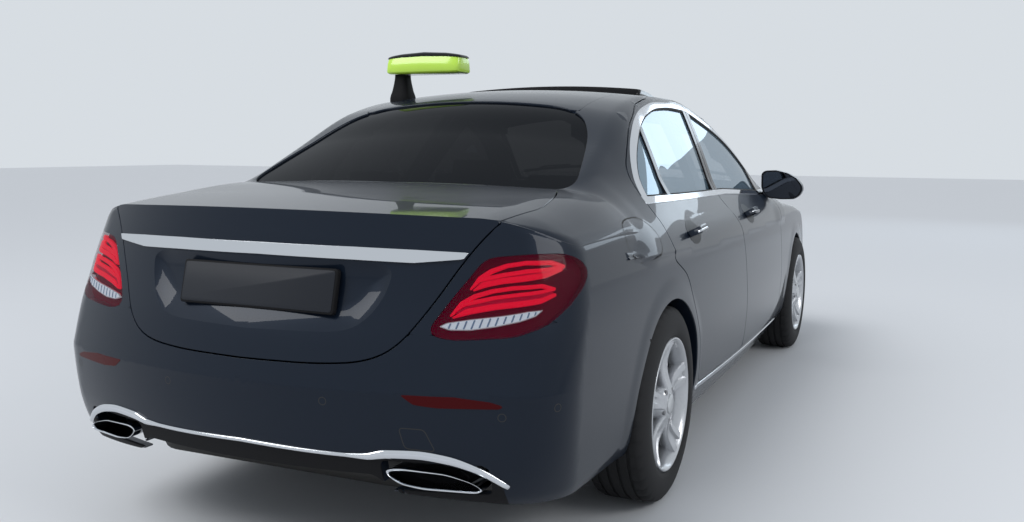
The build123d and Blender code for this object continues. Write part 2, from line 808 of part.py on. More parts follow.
# Engine, one plain block, and the exhaust
engine_block = box((-290, 1030, engine_low), (290, 1720, 790))
pipe_z = 205.0
tip_x = 562.0
tip_z = 345.0
tip_height = 66.0
silencer_back_y = -2140.0
with BuildPart() as exhaust:
    with BuildSketch(Plane.XZ.offset(-880)):
        with Locations((0, pipe_z)):
            Circle(28)
    extrude(amount=880 + 1930)
    add(box((-85, 40, 168), (85, 440, 244)))
    add(box((-610, silencer_back_y, 195), (610, -1920, 330)))
    add(box((-10, 200, 240), (10, 230, 340 - seat_gap)))
    for hanger_x in (-500, 480):
        add(box((hanger_x, -2050, 320), (hanger_x + 20, -2030, boot_floor_low - seat_gap)))
    with BuildSketch(Plane.XZ.offset(-silencer_back_y)):
        with Locations((tip_x, 290), (-tip_x, 290)):
            Circle(30)
    extrude(amount=90)
    with BuildSketch(Plane.XZ.offset(-silencer_back_y + 60)):
        with Locations((tip_x, tip_z - 30), (-tip_x, tip_z - 30)):
            Rectangle(90, 60)
    extrude(amount=30)
    for side in (1, -1):
        add(plan_prism(
            [(side * 433, -2210), (side * 691, -2210), (side * 691, -2342), (side * 433, -2408)],
            tip_z - tip_height / 2,
            tip_z + tip_height / 2,
        ))

# Seats, dashboard, console and steering wheel
seat_x = 370.0
with BuildPart() as front_seat:
    with BuildSketch(Plane.YZ.offset(seat_x - 260)):
        with BuildLine():
            Polyline(
                (-60, 340), (430, 370), (470, 430), (440, 500), (-20, 470), (-230, 980), (-330, 960),
                (-160, 420), close=True,
            )
        make_face()
    extrude(amount=520)
    with BuildSketch(Plane.YZ.offset(seat_x - 120)):
        with BuildLine():
            Polyline((-240, 1005), (-215, 1150), (-300, 1160), (-330, 1005), close=True)
        make_face()
    extrude(amount=240)
    for post in (-60, 60):
        add(box((seat_x + post - 6, -300, 950), (seat_x + post + 6, -285, 1030)))
    for rail in (-200, 200):
        add(box((seat_x + rail - 15, -100, floor_top), (seat_x + rail + 15, 380, 360)))
with BuildPart() as rear_seat:
    with BuildSketch(Plane.YZ.offset(-610)):
        with BuildLine():
            Polyline(
                (-480, 375), (-450, 430), (-480, 500), (-930, 480), (-1080, 960), (-1180, 980),
                (-1225, 930), (-1225, 375), close=True,
            )
        make_face()
    extrude(amount=1220)
    for centre in (-400, 0, 400):
        with BuildSketch(Plane.YZ.offset(centre - 120)):
            with BuildLine():
                Polyline((-1100, 975), (-1080, 1110), (-1160, 1125), (-1180, 975), close=True)
            make_face()
        extrude(amount=240)

with BuildPart() as dashboard:
    with BuildSketch(Plane.YZ.offset(-630)):
        with BuildLine():
            Polyline(
                (925, 640), (925, 855), (800, 905), (600, 890), (560, 820), (620, 700), (700, 640),
                close=True,
            )
        make_face()
    extrude(amount=1260)
    with BuildSketch(Plane.YZ.offset(-105)):
        with BuildLine():
            Polyline(
                (925, 371), (925, 660), (640, 700), (560, 600), (300, 520), (-160, 500), (-160, 371),
                close=True,
            )
        make_face()
    extrude(amount=210)

wheel_at = (-seat_x, 500, 830)
with BuildPart() as steering_wheel:
    tilted = Plane(origin=wheel_at, x_dir=(1, 0, 0), z_dir=(0, -1, 0.45))
    with BuildSketch(tilted.offset(-9)):
        Circle(188)
        Circle(160, mode=Mode.SUBTRACT)
        Rectangle(340, 46)
        with Locations((0, -90)):
            Rectangle(46, 150)
        Circle(66)
    extrude(amount=24)
    with BuildSketch(tilted.offset(-9)):
        Circle(30)
    extrude(amount=-110)
    add(dashboard.part, mode=Mode.SUBTRACT)

# Roof sign
sign_x = -343.0
sign_y = -770.0
sign_low = 1527.0
with BuildPart() as taxi_sign:
    with BuildSketch(Plane.YZ.offset(sign_x - 181)):
        with BuildLine():
            Polyline(
                (sign_y - 65, sign_low + 10), (sign_y - 50, sign_low), (sign_y + 50, sign_low),
                (sign_y + 65, sign_low + 10), (sign_y + 46, sign_low + 84),
                (sign_y + 38, sign_low + 92), (sign_y - 38, sign_low + 92),
                (sign_y - 46, sign_low + 84), close=True,
            )
        make_face()
    extrude(amount=362)
with BuildPart() as sign_foot:
    add(box((-518, sign_y - 55, 1400), (-422, sign_y + 55, 1462)))
    add(box((-500, sign_y - 40, 1462), (-440, sign_y + 40, sign_low - 2 * seat_gap)))
sign_foot_piece = without(sign_foot.part, mirrored(outer_form)).moved(Location((0, 0, seat_gap)))

# Sunroof pane, tilted about its front edge
pane = joined(sunroof_pane, mirrored(sunroof_pane))
sunroof_hinge = Axis((0, 290, 1430), (1, 0, 0))
sunroof_panel = pane.rotate(sunroof_hinge, -sunroof_tilt)

both_sides = {
    "side_frame": side_frame, "front_door": front_door, "rear_door": rear_door,
    "front_door_glass": front_door_glass, "rear_door_glass": rear_door_glass,
    "door_mirror": door_mirror_piece, "front_tyre": front_tyre, "front_rim": front_rim,
    "rear_tyre": rear_tyre, "rear_rim": rear_rim, "knuckle": knuckle.part,
}
in_pairs = {
    "front_fenders": fender, "headlamps": headlamp, "tail_lamps": tail_lamp, "front_seats": front_seat.part,
}
across = {
    "bonnet": bonnet, "front_bumper": front_bumper, "grille": grille, "boot_lid": boot_lid,
    "rear_bumper": rear_bumper, "roof_panel": roof_panel, "windscreen": windscreen,
    "rear_window": rear_window, "cowl": cowl,
}
whole = {
    "sunroof_panel": sunroof_panel,
    "floor_pan": floor_with_arms, "rear_tub": rear_tub, "front_structure": front_structure,
    "front_subframe": subframe.part, "rear_axle": rear_axle.part, "engine_block": engine_block,
    "exhaust": exhaust.part, "dashboard": dashboard.part, "steering_wheel": steering_wheel.part,
    "rear_seat": rear_seat.part, "taxi_sign": taxi_sign.part, "sign_foot": sign_foot_piece,
}
for name, piece in both_sides.items():
    save(f"{name}_right", piece)
    save(f"{name}_left", mirrored(piece))
for name, piece in in_pairs.items():
    save(name, Compound(children=[piece, mirrored(piece)]))
for name, piece in across.items():
    save(name, joined(piece, mirrored(piece)))
for name, piece in whole.items():
    save(name, piece)
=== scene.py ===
"""Four-door saloon taxi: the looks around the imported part, in metres, Y forward, Z up."""

import json
import math

import bpy
import numpy as np
from mathutils import Matrix, Vector


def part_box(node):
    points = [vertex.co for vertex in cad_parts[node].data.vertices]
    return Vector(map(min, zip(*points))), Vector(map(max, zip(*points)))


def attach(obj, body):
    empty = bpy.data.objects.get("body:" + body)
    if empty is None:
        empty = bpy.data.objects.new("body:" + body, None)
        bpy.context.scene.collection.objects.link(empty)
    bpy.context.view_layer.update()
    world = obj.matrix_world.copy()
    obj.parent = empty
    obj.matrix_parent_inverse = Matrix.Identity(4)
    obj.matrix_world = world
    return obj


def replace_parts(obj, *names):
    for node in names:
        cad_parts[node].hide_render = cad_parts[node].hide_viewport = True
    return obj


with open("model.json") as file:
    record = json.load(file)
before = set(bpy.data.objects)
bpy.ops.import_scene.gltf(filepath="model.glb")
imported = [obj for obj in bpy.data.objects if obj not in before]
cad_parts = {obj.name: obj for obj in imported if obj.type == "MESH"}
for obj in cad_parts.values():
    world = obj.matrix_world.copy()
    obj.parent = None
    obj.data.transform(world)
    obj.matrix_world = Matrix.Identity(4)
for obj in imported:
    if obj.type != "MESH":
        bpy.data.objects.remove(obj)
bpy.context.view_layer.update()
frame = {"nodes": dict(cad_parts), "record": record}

BODY = "car_body"
SIDES = (("right", 1), ("left", -1))

# Driving dimensions, the same as the part's
HALF_LENGTH = 4.923 / 2
HALF_WIDTH = 1.852 / 2
FRONT_AXLE_Y = 1.6205
REAR_AXLE_Y = -1.3185
WHEEL_Z = WHEEL_RADIUS = 0.339
FLOOR_TOP = 0.225
FRONT_WHEEL_X = 0.8025
REAR_WHEEL_X = 0.8095
ARCH_RADIUS = 0.366
PANEL_GAP = 0.006
PROUD = 0.0016  # how far a pressed skin stands over the part's own surface

# Lower body: height, narrower by, tail ahead by, nose behind by
PLAN_ROWS = np.array([
    (0.185, 0.084, 0.128, 0.160),
    (0.300, 0.026, 0.044, 0.060),
    (0.430, 0.008, 0.010, 0.013),
    (0.575, 0.000, 0.000, 0.000),
    (0.700, 0.002, 0.036, 0.024),
    (0.830, 0.012, 0.082, 0.090),
    (0.960, 0.047, 0.112, 0.170),
    (1.120, 0.100, 0.142, 0.262),
])
REAR_BOW, FRONT_BOW = 0.190, 0.250
REAR_TAPER, FRONT_TAPER = 0.044, 0.070
PLAN_CORNER = 0.120
ARCH_FLARE = 0.004
FLARE_START, FLARE_END = 0.012, 0.085  # out from the arch's edge

# Deck and bonnet: station, height at the middle, where the crown ends, at the shoulder
CROWN_HALF, SHOULDER_HALF = 0.620, 0.890
DECK_ROWS = np.array([
    (-2.520, 1.022, 0.998, 0.850),
    (-2.335, 1.040, 1.016, 0.872),
    (-2.000, 1.070, 1.052, 0.893),
    (-1.650, 1.093, 1.080, 0.905),
    (-1.000, 1.096, 1.082, 0.910),
    (-0.200, 1.080, 1.068, 0.909),
    (0.500, 1.062, 1.040, 0.904),
    (1.100, 1.010, 0.972, 0.890),
    (1.600, 0.957, 0.915, 0.858),
    (2.000, 0.893, 0.850, 0.800),
    (2.300, 0.824, 0.780, 0.718),
    (2.520, 0.760, 0.712, 0.640),
])

# Cabin: station, roof, corner across, corner up, foot across, corner radius
CABIN_FOOT_Z = 0.880
SIDE_BULGE = 0.012
CABIN_ROWS = np.array([
    (-1.720, 1.054, 0.672, 1.020, 0.888, 0.060),
    (-1.500, 1.168, 0.655, 1.122, 0.888, 0.090),
    (-1.300, 1.268, 0.640, 1.212, 0.884, 0.095),
    (-1.008, 1.405, 0.622, 1.343, 0.862, 0.080),
    (-0.780, 1.444, 0.597, 1.399, 0.854, 0.070),
    (-0.517, 1.463, 0.583, 1.428, 0.853, 0.065),
    (-0.116, 1.467, 0.582, 1.431, 0.853, 0.060),
    (0.257, 1.437, 0.618, 1.364, 0.852, 0.055),
    (0.549, 1.320, 0.679, 1.240, 0.850, 0.050),
    (0.800, 1.188, 0.728, 1.100, 0.849, 0.045),
    (1.000, 1.078, 0.768, 0.990, 0.850, 0.040),
    (1.180, 0.968, 0.790, 0.930, 0.850, 0.030),
])
CABIN_BACK_Y, CABIN_FRONT_Y = CABIN_ROWS[0, 0], CABIN_ROWS[-1, 0]
CORNER_FULL, CORNER_LESS = 0.45, 0.30  # share of a corner's radius that is rounded, and how much less behind
GLASS_INSET = 0.006

# Runs: where a change of the form starts and where it is full
CORNER_RUN = (-1.30, -0.95)
HAUNCH = 0.0155
HAUNCH_ACROSS = (0.64, 0.80)
HAUNCH_RISE = (-2.26, -2.08)
HAUNCH_FALL = (-1.60, -1.40)
LIP_ROUND, SHOULDER_ROUND = 0.0035, 0.012
LIP_RUN = (-2.30, -2.12)
LIP_ACROSS = (0.3, 0.75)
BELT_NARROW, BELT_WIDE, BELT_WIDER = 0.012, 0.05, 0.03  # fillet between body and cabin
BELT_WIDER_RUN = (0.72, 0.90)
BELT_ACROSS = (0.6, 0.7)
BELT_RISE = (CABIN_BACK_Y, -1.45)
BELT_FALL = (1.06, CABIN_FRONT_Y)
BELT_LEFT = 0.02  # share of the fillet that is left beyond the cabin
RECESS_DEPTH, RECESS_SLOPE = 0.0205, 0.072


# Curves through a table's columns
def curve_through(knots, values, step=0.002):
    """A smooth curve through the points, without overshoot, as a function of its first column."""
    knots, values = np.asarray(knots, float), np.asarray(values, float)
    width = np.diff(knots)
    rise = np.diff(values) / width
    slope = np.zeros_like(values)
    slope[0], slope[-1] = rise[0], rise[-1]
    for i in range(1, len(knots) - 1):
        if rise[i - 1] * rise[i] > 0:
            a, b = 2 * width[i] + width[i - 1], width[i] + 2 * width[i - 1]
            slope[i] = (a + b) / (a / rise[i - 1] + b / rise[i])
    at = np.arange(knots[0], knots[-1] + step, step)
    i = np.clip(np.searchsorted(knots, at, "right") - 1, 0, len(width) - 1)
    t = (at - knots[i]) / width[i]
    bend = (
        values[i] * (1 + 2 * t) * (1 - t) ** 2
        + slope[i] * width[i] * t * (1 - t) ** 2
        + values[i + 1] * t * t * (3 - 2 * t)
        + slope[i + 1] * width[i] * t * t * (t - 1)
    )
    return lambda x: np.interp(x, at, bend)


def columns(rows):
    return [curve_through(rows[:, 0], rows[:, i]) for i in range(1, rows.shape[1])]


narrower_at, _, nose_at = columns(PLAN_ROWS)
CREST_Z = 0.575  # the tail turns under with a crisp edge here
below_crest, above_crest = PLAN_ROWS[PLAN_ROWS[:, 0] <= CREST_Z], PLAN_ROWS[PLAN_ROWS[:, 0] >= CREST_Z]
tail_low_at, tail_high_at = columns(below_crest)[1], columns(above_crest)[1]


def tail_at(z):
    return np.where(z < CREST_Z, tail_low_at(z), tail_high_at(z))


middle_at, crown_at, shoulder_at = columns(DECK_ROWS)
roof_at, corner_x_at, corner_z_at, foot_at, radius_at = columns(CABIN_ROWS)


# Body form as a field: negative inside, and close to the distance near the surface
def round_max(a, b, radius):
    """What two forms share, its edge rounded."""
    return np.minimum(np.maximum(a, b), -radius) + np.hypot(
        np.maximum(a + radius, 0), np.maximum(b + radius, 0)
    )


def soft_min(a, b, width):
    """Two forms together, the corner between them filled."""
    h = np.maximum(width - np.abs(a - b), 0) / width
    return np.minimum(a, b) - h * h * width / 4


def step_between(low, high, value):
    t = np.clip((value - low) / (high - low), 0, 1)
    return t * t * (3 - 2 * t)


def bow_radius(chord, depth):
    return (chord * chord + depth * depth) / (2 * depth)


def lower_field(x, y, z):
    widest = HALF_WIDTH - narrower_at(z)
    tail = -HALF_LENGTH + tail_at(z)
    nose = HALF_LENGTH - nose_at(z)
    back_y, front_y = tail + REAR_BOW, nose - FRONT_BOW
    bend = (REAR_TAPER / -back_y + FRONT_TAPER / front_y) / (front_y - back_y)
    lean = (REAR_TAPER - bend * back_y * back_y) / -back_y
    side_x = widest + lean * y - bend * y * y
    for axle in (FRONT_AXLE_Y, REAR_AXLE_Y):
        reach = np.hypot(y - axle, z - WHEEL_Z)
        past = step_between(ARCH_RADIUS + FLARE_START, ARCH_RADIUS + FLARE_END, reach)
        side_x = side_x + ARCH_FLARE * (1 - past)
    side = x - side_x
    rear_radius = bow_radius(widest - REAR_TAPER, REAR_BOW)
    front_radius = bow_radius(widest - FRONT_TAPER, FRONT_BOW)
    rear = np.hypot(x, y - tail - rear_radius) - rear_radius
    front = np.hypot(x, y - nose + front_radius) - front_radius
    ends = np.where(y < 0, rear, front)
    return round_max(side, ends, PLAN_CORNER)


def deck_field(x, y, z):
    middle, crown, shoulder = middle_at(y), crown_at(y), shoulder_at(y)
    radius = bow_radius(CROWN_HALF, middle - crown)
    top = middle - radius + np.sqrt(np.maximum(radius * radius - x * x, 1e-6))
    slope = -CROWN_HALF / np.sqrt(radius * radius - CROWN_HALF * CROWN_HALF)
    out = x - CROWN_HALF
    run = SHOULDER_HALF - CROWN_HALF
    bend = (shoulder - crown - slope * run) / (run * run)
    near = np.clip(out, 0, run)
    wing = crown + slope * near + bend * near * near + (slope + 2 * bend * run) * np.maximum(out - run, 0)
    height = np.where(out < 0, top, wing)
    steep = np.where(out < 0, -x / radius, slope + 2 * bend * near)
    full = step_between(*HAUNCH_ACROSS, x) * step_between(*HAUNCH_RISE, y)
    full = full * (1 - step_between(*HAUNCH_FALL, y))
    return (z - height - HAUNCH * full) / np.sqrt(1 + steep * steep)


def cabin_field(x, y, z):
    roof, corner_x, corner_z, foot = roof_at(y), corner_x_at(y), corner_z_at(y), foot_at(y)
    radius = bow_radius(corner_x, roof - corner_z)
    top = z - (roof - radius + np.sqrt(np.maximum(radius * radius - x * x, 1e-6)))
    fall = (roof_at(y + 0.01) - roof_at(y - 0.01)) / 0.02
    top = top / np.sqrt(1 + fall * fall)
    t = (z - CABIN_FOOT_Z) / (corner_z - CABIN_FOOT_Z)
    side_x = foot + (corner_x - foot) * t + 4 * SIDE_BULGE * t * (1 - t)
    lean = (foot - corner_x) / (corner_z - CABIN_FOOT_Z)
    side = (x - side_x) / np.sqrt(1 + lean * lean)
    ends = np.maximum.reduce([y - CABIN_FRONT_Y, CABIN_BACK_Y - y, CABIN_FOOT_Z - z])
    corner = radius_at(y) * (CORNER_FULL - CORNER_LESS * (1 - step_between(*CORNER_RUN, y)))
    return np.maximum(round_max(top, side, corner), ends)


def body_field(p):
    x, y, z = np.abs(p[:, 0]), p[:, 1], p[:, 2]
    edge = LIP_ROUND + (SHOULDER_ROUND - LIP_ROUND) * step_between(*LIP_RUN, y) * step_between(*LIP_ACROSS, x)
    lower = round_max(lower_field(x, y, z), deck_field(x, y, z), edge)
    wide = BELT_WIDE + BELT_WIDER * step_between(*BELT_WIDER_RUN, y)
    belt = BELT_NARROW + wide * step_between(*BELT_ACROSS, x)
    fade = (1 - BELT_LEFT) * step_between(*BELT_RISE, y) * (1 - step_between(*BELT_FALL, y))
    return soft_min(lower, cabin_field(x, y, z), belt * (BELT_LEFT + fade)) - PROUD


def deck_face(p):
    """The top of the boot lid alone, up to its crisp lip."""
    x, y, z = np.abs(p[:, 0]), p[:, 1], p[:, 2]
    return soft_min(deck_field(x, y, z), cabin_field(x, y, z), BELT_NARROW) - PROUD


def tail_face(p):
    """The back of the boot lid alone."""
    return lower_field(np.abs(p[:, 0]), p[:, 1], p[:, 2]) - PROUD


def recess_face(p):
    """The back of the boot lid, sunk softly inside the plate's recess."""
    within = -inside_of(RECESS_SHAPE, np.abs(p[:, 0]), p[:, 2]) / RECESS_SLOPE
    near = np.minimum(within, 1)
    return tail_face(p) + RECESS_DEPTH * np.where(near < 0, 2 * near, near * (2 - near))


def glass_field(p):
    return cabin_field(np.abs(p[:, 0]), p[:, 1], p[:, 2]) + GLASS_INSET


def inside_of(points, a, b):
    """Signed distance to a closed outline, negative inside."""
    ends = np.asarray(points, float)
    best = np.full(np.shape(a), 9.0)
    odd = np.zeros(np.shape(a), bool)
    for (ax, ay), (bx, by) in zip(ends, np.roll(ends, -1, axis=0)):
        ex, ey = bx - ax, by - ay
        wx, wy = a - ax, b - ay
        t = np.clip((wx * ex + wy * ey) / (ex * ex + ey * ey), 0, 1)
        best = np.minimum(best, np.hypot(wx - ex * t, wy - ey * t))
        crosses = (ay > b) != (by > b)
        if ey:
            odd ^= crosses & (a < ax + ex * (b - ay) / ey)
    return np.where(odd, -best, best)


def slope_of(field, p, h=0.0008):
    grow = np.empty_like(p)
    for axis in range(3):
        shift = np.zeros(3)
        shift[axis] = h
        grow[:, axis] = (field(p + shift) - field(p - shift)) / (2 * h)
    return grow


def normals_of(field, p):
    n = slope_of(field, p)
    return n / np.maximum(np.linalg.norm(n, axis=1, keepdims=True), 1e-9)


def settled(field, p, rounds=3):
    """Points moved onto the field's surface."""
    for _ in range(rounds):
        g = slope_of(field, p)
        p = p - g * (field(p) / np.maximum((g * g).sum(1), 1e-3))[:, None]
    return p


def along_ray(field, start, direction, reach=2.2, rounds=26):
    """Where rays from inside the form leave it."""
    near, far = np.zeros(len(start)), np.full(len(start), reach)
    for _ in range(rounds):
        mid = (near + far) / 2
        within = field(start + direction * mid[:, None]) < 0
        near, far = np.where(within, mid, near), np.where(within, far, mid)
    return start + direction * near[:, None]


def side_points(field, y, z, inner=0.3):
    """Points on the right side at those places in the side view."""
    y, z = np.broadcast_arrays(np.asarray(y, float), np.asarray(z, float))
    start = np.column_stack([np.full(y.size, inner), y.ravel(), z.ravel()])
    return along_ray(field, start, np.tile((1.0, 0, 0), (y.size, 1)), 0.75)


def rear_points(field, x, z, start_y=-1.9):
    x, z = np.broadcast_arrays(np.asarray(x, float), np.asarray(z, float))
    start = np.column_stack([x.ravel(), np.full(x.size, start_y), z.ravel()])
    return along_ray(field, start, np.tile((0, -1.0, 0), (x.size, 1)), 0.8)


def top_points(field, x, y, start_z=0.7):
    x, y = np.broadcast_arrays(np.asarray(x, float), np.asarray(y, float))
    start = np.column_stack([x.ravel(), y.ravel(), np.full(x.size, start_z)])
    return along_ray(field, start, np.tile((0, 0, 1.0), (x.size, 1)), 0.9)


# Surface meshes: triangles, cut by fields and given turned edges
def shell(field, low_end, high_end, across=200, spacing=0.014, end_steps=72):
    """A closed mesh round the form, from rays that leave a line along its middle."""
    low_end, high_end = np.array(low_end), np.array(high_end)
    line = high_end - low_end
    middle_steps = int(np.linalg.norm(line) / spacing)
    turn = np.linspace(0, 2 * np.pi, 2 * across, endpoint=False)
    round_dirs = np.column_stack([np.sin(turn), np.zeros(turn.size), -np.cos(turn)])
    rows = []
    for i in range(1, end_steps):
        tip = math.pi / 2 * i / end_steps
        rows.append((low_end, math.sin(tip), -math.cos(tip)))
    for i in range(middle_steps + 1):
        rows.append((low_end + line * i / middle_steps, 1.0, 0.0))
    for i in range(end_steps - 1, 0, -1):
        tip = math.pi / 2 * i / end_steps
        rows.append((high_end, math.sin(tip), math.cos(tip)))
    start = np.concatenate([np.tile(r[0], (turn.size, 1)) for r in rows])
    aim = np.concatenate([round_dirs * r[1] + np.array((0, r[2], 0)) for r in rows])
    points = along_ray(field, start, aim)
    points = settled(field, points, 1)
    n, m = len(rows), turn.size
    i, j = np.meshgrid(np.arange(n - 1), np.arange(m), indexing="ij")
    a, b = i * m + j, i * m + (j + 1) % m
    c, d = a + m, b + m
    tris = np.concatenate([
        np.column_stack([a.ravel(), c.ravel(), b.ravel()]),
        np.column_stack([b.ravel(), c.ravel(), d.ravel()]),
    ])
    caps = np.array([low_end + (0, -0.2, 0), high_end + (0, 0.2, 0)])
    caps = along_ray(field, caps, np.array([(0, -1.0, 0), (0, 1.0, 0)]))
    first, last = len(points), len(points) + 1
    ring = np.arange(m)
    following = (ring + 1) % m
    tris = np.concatenate([
        tris,
        np.column_stack([np.full(m, first), ring, following]),
        np.column_stack([np.full(m, last), following + (n - 1) * m, ring + (n - 1) * m]),
    ])
    return np.concatenate([points, caps]), tris


def compact(points, tris):
    used, where = np.unique(tris, return_inverse=True)
    return points[used], where.reshape(-1, 3)


def clipped(points, tris, cut, field=None):
    """The part of the mesh where cut is negative; new points are put on the field's surface."""
    value = cut(points)
    low = value[tris].min(1)
    high = value[tris].max(1)
    whole = tris[high <= 0]
    crossing = tris[(low < 0) & (high > 0)]
    within = value[crossing] <= 0
    count = within.sum(1)
    pieces, pairs = [], []
    for wanted in (1, 2):
        some, inner = crossing[count == wanted], within[count == wanted]
        lone = np.argmax(inner if wanted == 1 else ~inner, axis=1)
        rows = np.arange(len(some))
        a, b, c = some[rows, lone], some[rows, (lone + 1) % 3], some[rows, (lone + 2) % 3]
        pieces.append((a, b, c))
        pairs += [np.column_stack([a, b]), np.column_stack([a, c])]
    stacked = np.sort(np.concatenate(pairs), axis=1)
    edges, where = np.unique(stacked, axis=0, return_inverse=True)
    where = where.ravel()
    p, q = points[edges[:, 0]], points[edges[:, 1]]
    vp, vq = value[edges[:, 0]], value[edges[:, 1]]
    t = vp / (vp - vq)
    lo, hi = np.zeros_like(t), np.ones_like(t)
    for _ in range(3):
        v = cut(p + (q - p) * t[:, None])
        same = (v > 0) == (vp > 0)
        lo, hi = np.where(same, t, lo), np.where(same, hi, t)
        v_lo = np.where(same, v, vp)
        v_hi = np.where(same, vq, v)
        vp, vq = v_lo, v_hi
        t = lo + (hi - lo) * np.clip(v_lo / np.where(v_lo == v_hi, 1e-9, v_lo - v_hi), 0.02, 0.98)
    fresh = p + (q - p) * t[:, None]
    if field is not None and len(fresh):
        fresh = settled(field, fresh, 1)
    where = where + len(points)
    n1, n2 = len(pieces[0][0]), len(pieces[1][0])
    ab1, ac1 = where[:n1], where[n1:2 * n1]
    ab2, ac2 = where[2 * n1:2 * n1 + n2], where[2 * n1 + n2:]
    a1 = pieces[0][0]
    b2, c2 = pieces[1][1], pieces[1][2]
    tris = np.concatenate([
        whole,
        np.column_stack([a1, ab1, ac1]),
        np.column_stack([ab2, b2, c2]),
        np.column_stack([ab2, c2, ac2]),
    ])
    return compact(np.concatenate([points, fresh]), tris)


def edge_rows(depth=0.007):
    """How an open edge is turned, away from it and up: rolled over, then inwards."""
    return (0.0006, -0.0006), (0.0008, -depth)


def turned_edges(points, tris, normals, rows):
    """The mesh with its open edges rolled over and turned inwards."""
    edges = np.concatenate([tris[:, [0, 1]], tris[:, [1, 2]], tris[:, [2, 0]]])
    keys = np.sort(edges, axis=1)
    _, where, count = np.unique(keys, axis=0, return_inverse=True, return_counts=True)
    rim = edges[count[where.ravel()] == 1]
    run = points[rim[:, 1]] - points[rim[:, 0]]
    run /= np.maximum(np.linalg.norm(run, axis=1, keepdims=True), 1e-9)
    out = np.zeros_like(points)
    for end in (0, 1):
        np.add.at(out, rim[:, end], np.cross(run, normals[rim[:, end]]))
    out /= np.maximum(np.linalg.norm(out, axis=1, keepdims=True), 1e-9)
    used = np.unique(rim)
    slot = np.full(len(points), -1)
    slot[used] = np.arange(len(used))
    all_points, all_normals, all_tris = [points], [normals], [tris]
    before, total = used, len(points)
    for level, (away, up) in enumerate(rows):
        ring = points[used] + out[used] * away + normals[used] * up
        ring_normals = out[used] + (normals[used] if level == 0 else 0)
        ring_normals /= np.maximum(np.linalg.norm(ring_normals, axis=1, keepdims=True), 1e-9)
        all_points.append(ring)
        all_normals.append(ring_normals)
        now = total + np.arange(len(used))
        i, j = slot[rim[:, 0]], slot[rim[:, 1]]
        all_tris.append(np.column_stack([before[i], now[i], now[j]]))
        all_tris.append(np.column_stack([before[i], now[j], before[j]]))
        before, total = now, total + len(used)
    return np.concatenate(all_points), np.concatenate(all_tris), np.concatenate(all_normals)


# Outlines of the panels, the same as the part's
# Side view: along and up. Plan: across and along. Front view: across and up.
WINDOW_LINE = [
    (-1.262, 1.028), (-1.22, 1.119), (-1.008, 1.27), (-0.78, 1.355), (-0.517, 1.398), (-0.116, 1.402),
    (0.257, 1.32), (0.549, 1.202), (0.872, 0.99), (0.872, 0.968), (-0.215, 1.014), (-1.2, 1.022),
]
SPLIT_LINE = [
    (-0.034, 0.15), (-0.034, 0.25), (-0.05, 0.47), (-0.14, 0.805), (-0.225, 0.99), (-0.223, 1.025),
    (-0.063, 1.381), (-0.042, 1.431),
]
FRONT_DOOR_LINE = [
    (-0.041, 0.305), (-0.05, 0.47), (-0.14, 0.805), (-0.225, 0.99), (-0.223, 1.025), (-0.063, 1.381),
    (-0.042, 1.43), (0.265, 1.348), (0.56, 1.229), (0.88, 0.985), (0.905, 0.958), (0.925, 0.805),
    (0.998, 0.377), (0.992, 0.277),
]
REAR_DOOR_LINE = [
    (-0.041, 0.306), (-0.884, 0.32), (-0.938, 0.497), (-1.12, 0.77), (-1.29, 0.85), (-1.292, 1.018),
    (-1.25, 1.135), (-1.022, 1.296), (-0.79, 1.384), (-0.517, 1.428), (-0.042, 1.431), (-0.063, 1.381),
    (-0.223, 1.025), (-0.225, 0.99), (-0.14, 0.805), (-0.05, 0.47),
]
DIVIDER_LINE = [(-0.822, 1.46), (-0.862, 1.46), (-0.99, 1.11), (-1.01, 0.9), (-0.97, 0.9), (-0.95, 1.11)]
FENDER_LINE = [
    (0.996, 0.1), (0.996, 0.25), (1.004, 0.377), (0.931, 0.805), (0.911, 0.964), (1, 0.985), (1.106, 1.02),
    (1.106, 1.12), (2.6, 1.12), (2.6, 0.1),
]
FRONT_BUMPER_LINE = [(1.7, 0.06), (1.85, 0.606), (2.095, 0.694), (2.6, 0.694), (2.6, 0.06)]
HEADLAMP_LINE = [(1.985, 0.806), (2.095, 0.694), (2.6, 0.64), (2.6, 0.86), (2, 0.86)]
# Seen square to the rear corner: towards the corner's own direction, and up
TAIL_LAMP_LINE = [
    (-1.125, 0.927), (-1.024, 0.937), (-0.915, 0.936), (-0.857, 0.917), (-0.827, 0.885), (-0.843, 0.854),
    (-0.908, 0.801), (-0.987, 0.754), (-1.081, 0.725), (-1.223, 0.714), (-1.27, 0.722), (-1.278, 0.744),
    (-1.211, 0.825),
]
REAR_BUMPER_LINE = [
    (-1.45, 0.06), (-1.53, 0.604), (-2.147, 0.721), (-2.181, 0.763), (-2.33, 0.726), (-2.6, 0.718),
    (-2.6, 0.06),
]
REAR_LOW_LINE = [
    (-0.03, 0), (-0.03, 0.345), (0.4, 0.345), (0.45, 0.292), (0.76, 0.268), (1.1, 0.235), (1.1, 0),
]
ROOF_LINE = [(-0.47, -1.066), (0.47, -1.066), (0.47, 0.335), (-0.47, 0.335)]
SUNROOF_LINE = [(-0.437, -0.215), (0.437, -0.215), (0.437, 0.29), (-0.437, 0.29)]
WINDSCREEN_LINE = [
    (-0.56, 0.335), (0.56, 0.335), (0.7, 0.985), (0.4, 1.06), (0, 1.085), (-0.4, 1.06), (-0.7, 0.985),
]
REAR_WINDOW_LINE = [
    (-0.1, -1.046), (0.4, -1.046), (0.5, -1.1), (0.562, -1.215), (0.602, -1.36), (0.648, -1.56),
    (0.6, -1.624), (-0.1, -1.652),
]
COWL_LINE = [(-0.728, 0.985), (0.728, 0.985), (0.718, 1.106), (-0.718, 1.106)]
